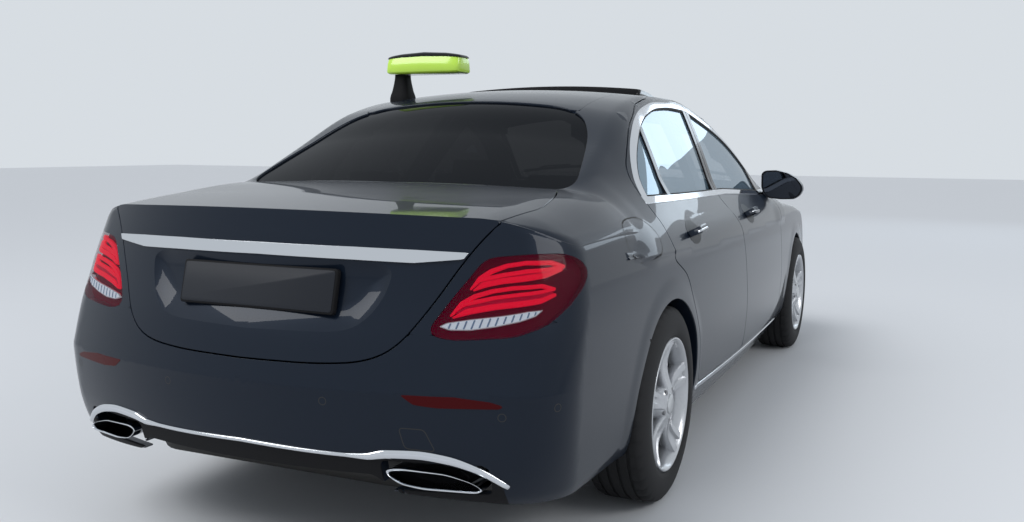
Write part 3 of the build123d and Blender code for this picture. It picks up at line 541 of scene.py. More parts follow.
BONNET_LINE = [
    (-0.712, 1.112), (0.712, 1.112), (0.704, 1.6), (0.66, 1.95), (0.56, 2.19), (0.45, 2.318), (0, 2.42),
    (-0.45, 2.318), (-0.56, 2.19), (-0.66, 1.95), (-0.704, 1.6),
]
LID_FACE_LINE = [
    (-0.1, 0.637), (0.234, 0.641), (0.376, 0.653), (0.46, 0.695), (0.53, 0.798), (0.606, 0.929),
    (0.664, 1.007), (0.73, 1.062), (0.73, 1.13), (-0.1, 1.13),
]
LID_TOP_LINE = [
    (-0.1, -2.6), (0.73, -2.6), (0.672, -2.24), (0.697, -1.98), (0.665, -1.79), (0.622, -1.666),
    (-0.1, -1.666),
]
LID_FRONT_Y = -1.666
RECESS_LINE = [(-0.1, 0.91), (0.42, 0.906), (0.408, 0.828), (0.37, 0.762), (0.308, 0.722), (-0.1, 0.712)]
GRILLE_LINE = [(-0.425, 0.742), (0.425, 0.742), (0.452, 0.64), (0.4, 0.505), (-0.4, 0.505), (-0.452, 0.64)]
INTAKE_LINE = [(-0.35, 0.268), (0.35, 0.268), (0.4, 0.395), (-0.4, 0.395)]
SIDE_INTAKE_LINE = [(0.505, 0.268), (0.77, 0.345), (0.735, 0.425), (0.56, 0.4)]
TIP_OPENING_LINE = [(0.42, 0.3), (0.704, 0.3), (0.704, 0.39), (0.42, 0.39)]


def rounded(points, radius, steps=5):
    """A closed outline with its corners drawn round."""
    result = []
    ends = [Vector(p) for p in points]
    for i, corner in enumerate(ends):
        before, after = ends[i - 1] - corner, ends[(i + 1) % len(ends)] - corner
        reach_in = min(radius, before.length * 0.48)
        reach_out = min(radius, after.length * 0.48)
        start, end = corner + before.normalized() * reach_in, corner + after.normalized() * reach_out
        for k in range(steps + 1):
            t = k / steps
            result.append(tuple(start * (1 - t) ** 2 + corner * (2 * t * (1 - t)) + end * t * t))
    return result


def side_cut(points, radius=0.0):
    line = rounded(points, radius) if radius else points
    return lambda p: inside_of(line, p[:, 1], p[:, 2])


def plan_cut(points, low=0.0, radius=0.0):
    line = rounded(points, radius) if radius else points
    return lambda p: np.maximum(inside_of(line, np.abs(p[:, 0]), p[:, 1]), low - p[:, 2])


def front_cut(points, back=-9.0, front=9.0, radius=0.0):
    line = rounded(points, radius) if radius else points
    return lambda p: np.maximum.reduce([
        inside_of(line, np.abs(p[:, 0]), p[:, 2]),
        back - p[:, 1],
        p[:, 1] - front,
    ])


CORNER_FRONT_Y, CORNER_INNER_X = -1.9, 0.4


def corner_cut(points, radius=0.0):
    """An outline seen square to the rear corner."""
    line = rounded(points, radius) if radius else points
    return lambda p: np.maximum.reduce([
        inside_of(line, (np.abs(p[:, 0]) + p[:, 1]) * math.sqrt(0.5), p[:, 2]),
        p[:, 1] - CORNER_FRONT_Y,
        CORNER_INNER_X - np.abs(p[:, 0]),
    ])


def wheel_cut(axle_y, radius, inner_x):
    return lambda p: np.maximum(
        np.hypot(p[:, 1] - axle_y, p[:, 2] - WHEEL_Z) - radius, inner_x - np.abs(p[:, 0])
    )


def grown(cut, by):
    return lambda p: cut(p) - by


def apart_from(cut, *others):
    return lambda p: np.maximum.reduce([cut(p)] + [-other(p) for other in others])


def both(*cuts):
    return lambda p: np.maximum.reduce([cut(p) for cut in cuts])


DOOR_INNER_X, SKIN_FOOT_Z = 0.552, 0.192
outside = lambda p: DOOR_INNER_X - np.abs(p[:, 0])
window_cut = side_cut(WINDOW_LINE, 0.03)
divider_cut = side_cut(DIVIDER_LINE)
front_door_cut = both(side_cut(FRONT_DOOR_LINE, 0.03), outside)
rear_door_cut = both(side_cut(REAR_DOOR_LINE, 0.05), outside)
fender_cut = side_cut(FENDER_LINE, 0.03)
front_bumper_cut = side_cut(FRONT_BUMPER_LINE, 0.05)
headlamp_cut = side_cut(HEADLAMP_LINE, 0.03)
tail_lamp_cut = corner_cut(TAIL_LAMP_LINE, 0.03)
rear_bumper_cut = side_cut(REAR_BUMPER_LINE, 0.02)
roof_cut = plan_cut(ROOF_LINE, low=1.2)
sunroof_cut = plan_cut(SUNROOF_LINE, low=1.3, radius=0.03)
windscreen_cut = plan_cut(WINDSCREEN_LINE, low=0.985)
rear_window_cut = plan_cut(REAR_WINDOW_LINE, low=1.0, radius=0.06)
cowl_cut = plan_cut(COWL_LINE, low=0.9)
bonnet_cut = plan_cut(BONNET_LINE, low=0.7, radius=0.08)
lid_face_cut = front_cut(LID_FACE_LINE, front=LID_FRONT_Y, radius=0.07)
lid_cut = both(lid_face_cut, plan_cut(LID_TOP_LINE, low=0.6, radius=0.05))
RECESS_SHAPE = np.array(rounded(RECESS_LINE, 0.080, 10))
grille_cut = front_cut(GRILLE_LINE, back=2.2, radius=0.04)
front_arch = wheel_cut(FRONT_AXLE_Y, ARCH_RADIUS, inner_x=0.5)
rear_arch = wheel_cut(REAR_AXLE_Y, ARCH_RADIUS, inner_x=0.6)
above_floor = lambda p: SKIN_FOOT_Z - p[:, 2]
right_half = lambda p: -p[:, 0]


# Materials
def material(name, colour, metallic=0.0, roughness=0.5, **sockets):
    made = bpy.data.materials.new(name)
    made.use_nodes = True
    shader = made.node_tree.nodes["Principled BSDF"]
    shader.inputs["Base Color"].default_value = (*colour, 1)
    shader.inputs["Metallic"].default_value = metallic
    shader.inputs["Roughness"].default_value = roughness
    for key, value in sockets.items():
        shader.inputs[key.replace("_", " ")].default_value = value
    return made


def flaked(made, scale=900.0, strength=0.05):
    """Small brightness changes, as metal flake in paint has."""
    nodes, links = made.node_tree.nodes, made.node_tree.links
    shader = nodes["Principled BSDF"]
    noise = nodes.new("ShaderNodeTexNoise")
    noise.inputs["Scale"].default_value = scale
    place = nodes.new("ShaderNodeTexCoord")
    links.new(place.outputs["Object"], noise.inputs["Vector"])
    ramp = nodes.new("ShaderNodeMapRange")
    base = shader.inputs["Roughness"].default_value
    ramp.inputs["To Min"].default_value = base - strength
    ramp.inputs["To Max"].default_value = base + strength
    links.new(noise.outputs["Fac"], ramp.inputs["Value"])
    links.new(ramp.outputs["Result"], shader.inputs["Roughness"])
    return made


def rough_surface(made, scale, depth, detail=4.0):
    """A fine bump, for grain, leather and rubber."""
    nodes, links = made.node_tree.nodes, made.node_tree.links
    noise = nodes.new("ShaderNodeTexNoise")
    noise.inputs["Scale"].default_value = scale
    noise.inputs["Detail"].default_value = detail
    place = nodes.new("ShaderNodeTexCoord")
    bump = nodes.new("ShaderNodeBump")
    bump.inputs["Strength"].default_value = 0.6
    bump.inputs["Distance"].default_value = depth
    links.new(place.outputs["Object"], noise.inputs["Vector"])
    links.new(noise.outputs["Fac"], bump.inputs["Height"])
    links.new(bump.outputs["Normal"], nodes["Principled BSDF"].inputs["Normal"])
    return made


PAINT = flaked(material(
    "paint", (0.007, 0.012, 0.022), 0.25, 0.34,
    Coat_Weight=0.70, Coat_Roughness=0.012, Coat_IOR=1.30, IOR=1.15,
))
CHROME = material("chrome", (0.66, 0.68, 0.71), 1.0, 0.06)
SATIN_CHROME = material("satin_chrome", (0.62, 0.63, 0.64), 1.0, 0.22)
BLACK_GLOSS = material(
    "black_gloss", (0.006, 0.006, 0.007), 0.0, 0.14,
    Coat_Weight=0.35, Coat_Roughness=0.03, Coat_IOR=1.25, IOR=1.2,
)
BLACK_PLASTIC = rough_surface(material("black_plastic", (0.009, 0.009, 0.01), 0.0, 0.6, IOR=1.2), 900, 0.0002)
# Real rubber for window seals and hangers; the same dark finish also draws fine lines of painted shade where
# gaps round flaps and sensors are
RUBBER_AND_GAP_SHADE = rough_surface(material("rubber", (0.016, 0.016, 0.016), 0.0, 0.75), 300, 0.0003)
TYRE = rough_surface(material("tyre", (0.013, 0.013, 0.014), 0.0, 0.75, Specular_IOR_Level=0.3), 400, 0.0003)
SILVER = flaked(
    material("rim_silver", (0.50, 0.51, 0.53), 0.85, 0.28, Coat_Weight=0.7, Coat_Roughness=0.05), 1200
)
EXHAUST = rough_surface(material("exhaust_steel", (0.045, 0.044, 0.043), 0.8, 0.55), 60, 0.0004)
STEEL = material("steel", (0.30, 0.30, 0.31), 1.0, 0.42)
DISC = material("disc", (0.42, 0.42, 0.43), 1.0, 0.32)
UNDERBODY = rough_surface(material("underbody", (0.02, 0.02, 0.022), 0.0, 0.8), 120, 0.001)
ENGINE = material("engine", (0.09, 0.09, 0.095), 0.4, 0.5)
DASH = rough_surface(material("dash", (0.020, 0.020, 0.022), 0.0, 0.6), 700, 0.0003)
LEATHER = rough_surface(material("leather", (0.022, 0.021, 0.021), 0.0, 0.42, Coat_Weight=0.15), 500, 0.0005)
PIPING = material("piping", (0.012, 0.012, 0.012), 0.0, 0.5)
CLEAR_GLASS = material("clear_glass", (0.010, 0.016, 0.020), 0.0, 0.01, Alpha=0.45, Specular_IOR_Level=0.5)
# Side windows: real glass that lets the cabin show through, with a bluish metallic colour that is a painted
# reflection of the sky
SIDE_GLASS_PAINTED_SKY = material("side_glass_painted_sky", (0.22, 0.32, 0.40), 0.55, 0.01, Alpha=0.84)
DARK_GLASS = material("dark_glass", (0.002, 0.003, 0.005), 0.0, 0.01, Alpha=0.98, IOR=1.12)
LENS_RED = material("lens_red", (0.10, 0.0, 0.012), 0.0, 0.02, Alpha=0.38, IOR=1.28)
LAMP_DARK = material("lamp_dark", (0.055, 0.001, 0.008), 0.0, 0.4, Specular_IOR_Level=0.1)
LAMP_GLOW = material(
    "lamp_glow", (0.60, 0.004, 0.02), 0.0, 0.35, Emission_Color=(1.0, 0.008, 0.04, 1), Emission_Strength=0.50,
    Specular_IOR_Level=0.1,
)
LAMP_FILL = material(
    "lamp_fill", (0.34, 0.003, 0.03), 0.0, 0.4, Emission_Color=(1.0, 0.01, 0.06, 1), Emission_Strength=0.12,
    Specular_IOR_Level=0.1,
)
LAMP_RIB = material("lamp_rib", (0.16, 0.36, 0.52), 0.4, 0.12)
LAMP_PALE = material(
    "lamp_pale", (0.62, 0.74, 0.82), 0.0, 0.2, Emission_Color=(0.7, 0.9, 1.0, 1), Emission_Strength=0.25,
)
REFLECTOR = material("reflector", (0.050, 0.001, 0.002), 0.0, 0.25, IOR=1.2)
LENS_CLEAR = material("lens_clear", (0.04, 0.045, 0.05), 0.0, 0.02, Alpha=0.16, IOR=1.4)
LAMP_BLACK = material("lamp_black", (0.008, 0.008, 0.010), 0.3, 0.25)
LAMP_WHITE = material(
    "lamp_white", (0.80, 0.83, 0.86), 0.0, 0.2, Emission_Color=(0.9, 0.95, 1, 1), Emission_Strength=0.2,
)
SIGN_GREEN = material("sign_green", (0.50, 0.78, 0.07), 0.0, 0.22, Coat_Weight=0.5)
MIRROR_GLASS = material("mirror_glass", (0.07, 0.08, 0.10), 1.0, 0.03)
# Painted shade: near black, laid flat over the paint where the handle's hollow and the bar's shadow are
CUP_SHADE = material("cup_painted_shade", (0.003, 0.004, 0.006), 0.0, 0.3, IOR=1.2)
PLATE = material("plate", (0.014, 0.016, 0.021), 0.0, 0.45, IOR=1.3)


# Making pieces
def piece(name, points, tris, finish, body=BODY, normals=None, slot=None):
    """A mesh object that rides on a body."""
    points, tris = np.array(points, float), np.asarray(tris, int)
    points[:, 1] = np.clip(points[:, 1], -HALF_LENGTH, HALF_LENGTH)
    mesh = bpy.data.meshes.new(name)
    mesh.vertices.add(len(points))
    mesh.vertices.foreach_set("co", points.astype(np.float32).ravel())
    size = tris.shape[1]
    mesh.loops.add(tris.size)
    mesh.loops.foreach_set("vertex_index", tris.astype(np.int32).ravel())
    mesh.polygons.add(len(tris))
    mesh.polygons.foreach_set("loop_start", np.arange(0, tris.size, size, dtype=np.int32))
    mesh.polygons.foreach_set("use_smooth", np.ones(len(tris), bool))
    mesh.update()
    mesh.validate()
    if normals is not None:
        mesh.normals_split_custom_set_from_vertices(np.asarray(normals, float).tolist())
    mesh.materials.append(finish)
    made = bpy.data.objects.new(name, mesh)
    bpy.context.scene.collection.objects.link(made)
    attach(made, body)
    return made


def flipped(points, tris, normals=None):
    """The same mesh on the other side of the car."""
    swap = np.array((-1.0, 1, 1))
    return points * swap, tris[:, ::-1], None if normals is None else normals * swap


def skin(cut, field=body_field, source=None, rows=edge_rows()):
    """A panel cut from the body's surface, with turned edges."""
    points, tris = clipped(*(source or base), cut, field)
    normals = normals_of(field, points)
    if rows:
        points, tris, normals = turned_edges(points, tris, normals, rows)
    return points, tris, normals


def nearer(field, cut, refine, reach=0.03):
    """Base triangles near another surface, made finer and put on it."""
    points, tris = base
    close = (np.abs(field(points))[tris].max(1) < reach) & (cut(points)[tris].min(1) < 0.03)
    points, tris = compact(points, tris[close])
    for _ in range(refine):
        points, tris = divided(points, tris, field)
    return settled(field, points, 3), tris


def divided(points, tris, field):
    """Each triangle in four, on the surface."""
    edges = np.sort(np.concatenate([tris[:, [0, 1]], tris[:, [1, 2]], tris[:, [2, 0]]]), axis=1)
    pairs, where = np.unique(edges, axis=0, return_inverse=True)
    where = where.ravel().reshape(3, -1) + len(points)
    middle = settled(field, (points[pairs[:, 0]] + points[pairs[:, 1]]) / 2, 1)
    ab, bc, ca = where
    a, b, c = tris.T
    tris = np.concatenate([
        np.column_stack([a, ab, ca]),
        np.column_stack([ab, b, bc]),
        np.column_stack([ca, bc, c]),
        np.column_stack([ab, bc, ca]),
    ])
    return np.concatenate([points, middle]), tris


def both_sides(name, made, finish, body="{side}", slot=None):
    """A right-hand mesh and its mirror image, riding on each side's body."""
    result = []
    for side, sign in SIDES:
        points, tris, normals = made if sign > 0 else flipped(*made)
        result.append(piece(f"{name}_{side}", points, tris, finish, body.format(side=side), normals, slot))
    return result


base = shell(body_field, (0, -1.75, 0.62), (0, 1.75, 0.52))
base = compact(base[0], base[1][(base[0][base[1]][:, :, 2].max(1) > 0.17)])

# Painted panels
bonnet_gap, lid_gap = grown(bonnet_cut, PANEL_GAP), grown(lid_cut, PANEL_GAP)
front_door_gap, rear_door_gap = grown(front_door_cut, PANEL_GAP), grown(rear_door_cut, PANEL_GAP)
side_panel = both(
    apart_from(
        lambda p: p[:, 1] - CABIN_FRONT_Y, roof_cut, windscreen_cut, rear_window_cut, window_cut, cowl_cut,
        fender_cut, tail_lamp_cut, rear_bumper_cut, rear_arch, bonnet_gap, lid_gap,
        front_door_gap, rear_door_gap,
    ),
    above_floor, right_half,
)
split = side_cut([(-3.0, 0.0), *SPLIT_LINE, (-0.042, 2.0), (-3.0, 2.0)])
front_skin = both(apart_from(front_door_cut, window_cut, grown(split, PANEL_GAP / 2)), right_half)
rear_skin = both(
    lambda p: np.maximum.reduce([
        rear_door_cut(p),
        np.minimum(-window_cut(p), divider_cut(p)),
        split(p) + PANEL_GAP / 2,
    ]),
    right_half,
)
fender_skin = both(
    apart_from(fender_cut, bonnet_gap, cowl_cut, front_bumper_cut, headlamp_cut, front_arch),
    above_floor, right_half,
)
for name, cut, body in (
    ("side_skin", side_panel, BODY), ("front_door_skin", front_skin, "front_door_{side}"),
    ("rear_door_skin", rear_skin, "rear_door_{side}"), ("fender_skin", fender_skin, BODY),
):
    both_sides(name, skin(cut), PAINT, body, "paint")
tip_opening = front_cut(TIP_OPENING_LINE, front=-2.1, radius=0.02)
low_opening = front_cut(REAR_LOW_LINE, front=-1.40, radius=0.02)
for name, cut, body in (
    ("roof_skin", apart_from(grown(roof_cut, -0.002), sunroof_cut, rear_window_cut), BODY),
    ("bonnet_skin", bonnet_cut, "bonnet"),
    ("rear_bumper_skin", both(apart_from(
        rear_bumper_cut, lid_gap, tail_lamp_cut, rear_arch, tip_opening, low_opening,
    ), above_floor), BODY),
    ("front_bumper_skin", both(apart_from(
        front_bumper_cut, bonnet_gap, headlamp_cut, grille_cut, front_arch,
        front_cut(INTAKE_LINE, back=2.0, radius=0.03), front_cut(SIDE_INTAKE_LINE, back=2.0, radius=0.03),
    ), above_floor), BODY),
):
    points, tris, normals = skin(cut)
    piece(name, points, tris, PAINT, body, normals, "paint")

# Boot lid: top, back and plate recess, each with crisp edges, over an inner panel
recess_cut = lambda p: np.maximum(inside_of(RECESS_SHAPE, np.abs(p[:, 0]), p[:, 2]), p[:, 1] + 2.1)
LID_EDGE = 0.0009
LID_TURN, LID_INSIDE = 0.024, 0.0245  # how far the edges turn in, and how deep the inner panel lies
lid_rows = edge_rows(LID_TURN)
lid_top_cut = both(lid_cut, lambda p: tail_face(p) + LID_EDGE)
lid_back_cut = both(apart_from(lid_cut, recess_cut), lambda p: deck_face(p) + LID_EDGE)
for name, field, cut, finer, rows in (
    ("boot_lid_top", deck_face, lid_top_cut, 0, lid_rows),
    ("boot_lid_back", tail_face, lid_back_cut, 0, lid_rows),
    ("boot_lid_recess", recess_face, both(recess_cut, lid_cut), 1, None),
):
    points, tris, normals = skin(cut, field, nearer(field, cut, finer), rows)
    made = piece(name, points, tris, PAINT, "boot_lid", normals, "paint")
    if name == "boot_lid_top":
        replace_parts(made, "boot_lid")
for word, field, other in (("top", deck_face, tail_face), ("back", tail_face, deck_face)):
    deep = lambda p, f=field: f(p) + LID_INSIDE
    cut = both(grown(lid_cut, -0.0002), lambda p, f=other: f(p) + LID_TURN)
    points, tris, normals = skin(cut, deep, nearer(deep, cut, 0, 0.045), None)
    piece(f"lid_inside_{word}", points, tris[:, ::-1], UNDERBODY, "boot_lid", -normals)

# Glass: smooth sheets in place of the flat-facetted ones
glass_base = shell(glass_field, (0, -0.9, 1.0), (0, 0.6, 1.0), across=140, spacing=0.02, end_steps=50)


def glass_sheet(cut):
    return skin(cut, glass_field, glass_base, ((0.0, -0.004),))


front_pane = both(apart_from(window_cut, grown(split, 0.002)), right_half)
rear_pane = both(apart_from(window_cut, grown(divider_cut, -0.001)), grown(split, -0.002), right_half)
for door, cut in (("front_door", front_pane), ("rear_door", rear_pane)):
    sheets = both_sides(f"{door}_glass_sheet", glass_sheet(cut), SIDE_GLASS_PAINTED_SKY, door + "_{side}")
    for made, (side, _) in zip(sheets, SIDES):
        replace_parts(made, f"{door}_glass_{side}")
for name, cut, finish in (
    ("windscreen", windscreen_cut, CLEAR_GLASS), ("rear_window", rear_window_cut, DARK_GLASS),
):
    points, tris, normals = glass_sheet(both(cut, lambda p: 0.9 - p[:, 2]))
    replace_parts(piece(f"{name}_sheet", points, tris, finish, BODY, normals), name)

# Trim laid on the surface
def inlay(name, cut, lift, finish, body=BODY, refine=1, depth=0.006, sides=True, slot=None):
    """A patch that follows the surface, standing over it by lift, with turned edges."""
    points, tris = base
    points, tris = compact(points, tris[cut(points)[tris].min(1) < 0.03])
    for _ in range(refine):
        points, tris = divided(points, tris, body_field)
        points, tris = compact(points, tris[cut(points)[tris].min(1) < 0.008])
    points, tris = clipped(points, tris, both(cut, right_half) if sides else cut, body_field)
    normals = normals_of(body_field, points)
    points = points + normals * lift
    made = turned_edges(points, tris, normals, edge_rows(depth))
    if sides:
        return both_sides(name, made, finish, body, slot)
    return [piece(name, made[0], made[1], finish, body, made[2], slot)]


def swept(path, ups, profile, closed=False):
    """A profile, across and up, carried along a path."""
    path, ups = np.asarray(path, float), np.asarray(ups, float)
    along = np.roll(path, -1, 0) - np.roll(path, 1, 0) if closed else np.gradient(path, axis=0)
    along /= np.linalg.norm(along, axis=1, keepdims=True)
    across = np.cross(along, ups)
    across /= np.linalg.norm(across, axis=1, keepdims=True)
    profile = np.asarray(profile, float)
    if profile.ndim == 2:
        profile = np.broadcast_to(profile, (len(path), *profile.shape))
    rings = path[:, None] + across[:, None] * profile[:, :, :1] + ups[:, None] * profile[:, :, 1:]
    n, m = rings.shape[:2]
    tris = ring_tris(n + 1, m, False) % (n * m) if closed else ring_tris(n, m, True)
    return rings.reshape(-1, 3), tris


def ring_tris(n, m, caps):
    """Triangles between n rings of m points each."""
    i, j = np.meshgrid(np.arange(n - 1), np.arange(m), indexing="ij")
    a, b = (i * m + j).ravel(), (i * m + (j + 1) % m).ravel()
    tris = [np.column_stack([a, b, a + m]), np.column_stack([b, b + m, a + m])]
    if caps:
        k = np.arange(1, m - 1)
        tris.append(np.column_stack([np.zeros_like(k), k + 1, k]))
        last = (n - 1) * m
        tris.append(np.column_stack([np.full_like(k, last), last + k, last + k + 1]))
    return np.concatenate(tris)


def oval(half_width, half_height, count=14, power=2.0):
    """A closed round outline; a higher power makes it squarer."""
    t = np.linspace(0, 2 * np.pi, count, endpoint=False)
    c, s = np.cos(t), np.sin(t)
    return np.column_stack([
        half_width * np.sign(c) * np.abs(c) ** (2 / power),
        half_height * np.sign(s) * np.abs(s) ** (2 / power),
    ])


def along_line(points, count):
    """Evenly spaced places on a smooth curve through the points."""
    points = np.asarray(points, float)
    length = np.concatenate([[0], np.cumsum(np.linalg.norm(np.diff(points, axis=0), axis=1))])
    at = np.linspace(0, length[-1], count)
    return np.column_stack([curve_through(length, column, length[-1] / 400)(at) for column in points.T])


def turned(profile, count):
    """A profile, along X and out from the axle, turned about the axle."""
    profile = np.asarray(profile, float)
    t = np.linspace(0, 2 * math.pi, count, endpoint=False)
    points = np.column_stack([
        np.repeat(profile[None, :, 0], count, 0).ravel(),
        (profile[None, :, 1] * np.cos(t)[:, None]).ravel(),
        (profile[None, :, 1] * np.sin(t)[:, None]).ravel(),
    ])
    m = len(profile)
    i, j = np.meshgrid(np.arange(count), np.arange(m - 1), indexing="ij")
    a = (i * m + j).ravel()
    b = (((i + 1) % count) * m + j).ravel()
    return points, np.concatenate([np.column_stack([a, b, a + 1]), np.column_stack([a + 1, b, b + 1])])


def smooth_by_angle(made, degrees=50):
    made.data.set_sharp_from_angle(angle=math.radians(degrees))
    return made


# Window surrounds
DLO_OUTER = [
    (-1.296, 1.026), (-1.284, 1.045), (-1.216, 1.128), (-1.072, 1.25), (-0.923, 1.326), (-0.742, 1.375),
    (-0.517, 1.405), (-0.3, 1.411), (-0.129, 1.404), (0.157, 1.352), (0.434, 1.27), (0.636, 1.168),
    (0.861, 1.01), (0.886, 0.986), (0.639, 0.979), (-0.067, 1.011), (-0.735, 1.017),
]
DLO_INNER = [
    (-1.24, 1.047), (-1.18, 1.125), (-1.03, 1.237), (-0.882, 1.306), (-0.717, 1.352), (-0.517, 1.382),
    (-0.3, 1.391), (-0.116, 1.387), (0.15, 1.338), (0.42, 1.258), (0.62, 1.158), (0.842, 1.008),
    (0.85, 0.999), (0.639, 0.996), (-0.067, 1.03), (-0.735, 1.037),
]
arched = lambda line, n: [tuple(at) for at in along_line(line[:n], 90)] + line[n:]
dlo_outer, dlo_inner = side_cut(arched(DLO_OUTER, 13)), side_cut(arched(DLO_INNER, 12))
on_side = lambda p: 0.45 - np.abs(p[:, 0])
front_of_split = lambda p: PANEL_GAP / 2 - split(p)
behind_split = grown(split, -PANEL_GAP / 2)
ring = both(apart_from(dlo_outer, dlo_inner), on_side)
inner_ring = both(apart_from(grown(dlo_inner, 0.002), grown(dlo_inner, -0.006)), on_side)
bar = both(lambda p: np.abs(split(p)) - 0.040, dlo_inner, on_side)
for door, own_side in (("front_door", front_of_split), ("rear_door", behind_split)):
    body = door + "_{side}"
    inlay(f"{door}_chrome_surround", both(ring, own_side), 0.0022, CHROME, body, refine=2)
    inlay(f"{door}_window_rubber", both(inner_ring, own_side), 0.0002, RUBBER_AND_GAP_SHADE, body, depth=0.008)
    inlay(f"{door}_pillar_cover", both(bar, own_side), 0.0004, BLACK_GLOSS, body, depth=0.008)
inlay("quarter_divider_cover", both(divider_cut, dlo_inner, on_side), 0.0008, BLACK_GLOSS, "rear_door_{side}")
SAIL_BACK_Y = 0.690
sail = both(dlo_inner, lambda p: SAIL_BACK_Y - p[:, 1], on_side)
inlay("mirror_sail", sail, 0.0010, BLACK_GLOSS, "front_door_{side}", refine=2, depth=0.010)

# Wipers, lying along the foot of the windscreen
for word, inner_x, outer_x in (("left", -0.62, -0.03), ("right", 0.02, 0.61)):
    xs = np.linspace(inner_x, outer_x, 24)
    ys = 0.950 - 0.05 * (xs / 0.7) ** 2 + 0.012 * (xs - inner_x)
    blade = top_points(body_field, xs, ys, 0.95)
    out = normals_of(body_field, blade)
    points, tris = swept(blade + out * 0.006, out, oval(0.0050, 0.0085, 12))
    smooth_by_angle(piece(f"wiper_blade_{word}", points, tris, BLACK_PLASTIC))
    arm = [blade[0] + (0.06, 0.055, 0.004), blade[4] + (0, 0.02, 0.018), blade[11] + (0, 0, 0.018)]
    points, tris = swept(along_line(arm, 14), np.tile(out[8], (14, 1)), oval(0.006, 0.004, 12))
    smooth_by_angle(piece(f"wiper_arm_{word}", points, tris, BLACK_PLASTIC))

# Chrome strips: sill, boot lid and rear bumper
SILL_STRIP = [(-0.925, 0.3), (-0.925, 0.313), (0.3, 0.284), (1.15, 0.262), (1.15, 0.248), (0.3, 0.27)]
inlay("sill_strip", both(side_cut(SILL_STRIP), on_side), 0.004, CHROME)
BOOT_STRIP = [
    (-0.1, 0.9475), (0.3, 0.9455), (0.47, 0.942), (0.612, 0.937), (0.6, 0.9215), (0.47, 0.909),
    (0.3, 0.9125), (-0.1, 0.9165),
]
strip_cut = both(front_cut(BOOT_STRIP, front=-2.1), grown(lid_cut, -0.003))
inlay("boot_strip", strip_cut, 0.007, CHROME, "boot_lid", depth=0.010, sides=False)
TRIM_LINE = [
    (0, 0.4035), (0.3, 0.3975), (0.38, 0.398), (0.44, 0.409), (0.52, 0.412), (0.6, 0.402), (0.68, 0.373),
    (0.745, 0.328),
]
half = along_line(TRIM_LINE, 60)
line = np.concatenate([half[:0:-1] * (-1, 1), half])
rear_at = rear_points(body_field, line[:, 0], line[:, 1])
out = normals_of(body_field, rear_at)
line_x = np.abs(line[:, 0])
over_tip = np.clip((line_x - 0.33) / 0.10, 0, 1) * np.clip((0.80 - line_x) / 0.2, 0, 1)
ovals = np.stack([oval(0.0062 + 0.0075 * more, 0.0050 + 0.0035 * more, 12) for more in over_tip])
piece("bumper_trim", *swept(rear_at + out * 0.002, out, ovals), CHROME)
VALANCE_LINE = [
    (-0.1, 0.401), (0.3, 0.395), (0.385, 0.396), (0.44, 0.404), (0.6, 0.398), (0.73, 0.335), (0.74, 0.2),
    (-0.1, 0.2),
]
valance_cut = both(apart_from(front_cut(VALANCE_LINE, front=-2.0), tip_opening, low_opening), above_floor)
inlay("rear_valance", valance_cut, 0.0006, BLACK_PLASTIC, refine=0, sides=False)
REFLECTOR_LINE = [
    (-1.358, 0.5735), (-1.235, 0.574), (-1.15, 0.564), (-1.119, 0.554), (-1.127, 0.547), (-1.274, 0.544),
    (-1.328, 0.55),
]
inlay("reflector", corner_cut(REFLECTOR_LINE, 0.006), 0.0012, REFLECTOR, refine=2)

# Tail lamps: lens, dark housing, two pairs of lit bands and a pale ribbed strip
LAMP_BANDS = [
    [
        (-1.174, 0.842), (-1.148, 0.878), (-1.118, 0.898), (-1.077, 0.913), (-1.026, 0.921), (-0.95, 0.92),
        (-0.908, 0.905), (-0.912, 0.898), (-0.95, 0.912), (-1.026, 0.913), (-1.075, 0.905), (-1.113, 0.89),
        (-1.142, 0.87),
    ],
    [
        (-1.146, 0.866), (-1.128, 0.879), (-1.088, 0.889), (-1.029, 0.899), (-0.964, 0.902),
        (-0.912, 0.906), (-0.912, 0.901), (-0.964, 0.894), (-1.029, 0.89), (-1.088, 0.88), (-1.128, 0.87),
    ],
    [
        (-1.166, 0.842), (-1.13, 0.855), (-1.089, 0.864), (-1.032, 0.871), (-0.971, 0.879), (-0.918, 0.893),
        (-0.922, 0.899), (-0.971, 0.89), (-1.032, 0.884), (-1.089, 0.876), (-1.14, 0.864),
    ],
    [
        (-1.228, 0.775), (-1.197, 0.813), (-1.163, 0.833), (-1.119, 0.847), (-1.066, 0.856),
        (-0.988, 0.861), (-0.948, 0.849), (-0.952, 0.842), (-0.988, 0.853), (-1.066, 0.848),
        (-1.117, 0.839), (-1.16, 0.825), (-1.192, 0.803),
    ],
    [
        (-1.196, 0.802), (-1.162, 0.819), (-1.113, 0.83), (-1.052, 0.839), (-0.991, 0.845), (-0.95, 0.85),
        (-0.95, 0.845), (-0.991, 0.837), (-1.052, 0.831), (-1.113, 0.822), (-1.162, 0.81),
    ],
    [
        (-1.222, 0.773), (-1.176, 0.786), (-1.116, 0.798), (-1.055, 0.806), (-0.993, 0.813),
        (-0.948, 0.829), (-0.952, 0.836), (-0.993, 0.825), (-1.055, 0.818), (-1.116, 0.81), (-1.185, 0.796),
    ],
]
LAMP_FILLS = [
    [
        (-1.16, 0.852), (-1.128, 0.878), (-1.029, 0.898), (-0.915, 0.903), (-0.935, 0.888), (-1.032, 0.878),
        (-1.12, 0.862),
    ],
    [
        (-1.215, 0.785), (-1.162, 0.818), (-1.052, 0.838), (-0.95, 0.846), (-0.965, 0.828), (-1.055, 0.812),
        (-1.17, 0.792),
    ],
]
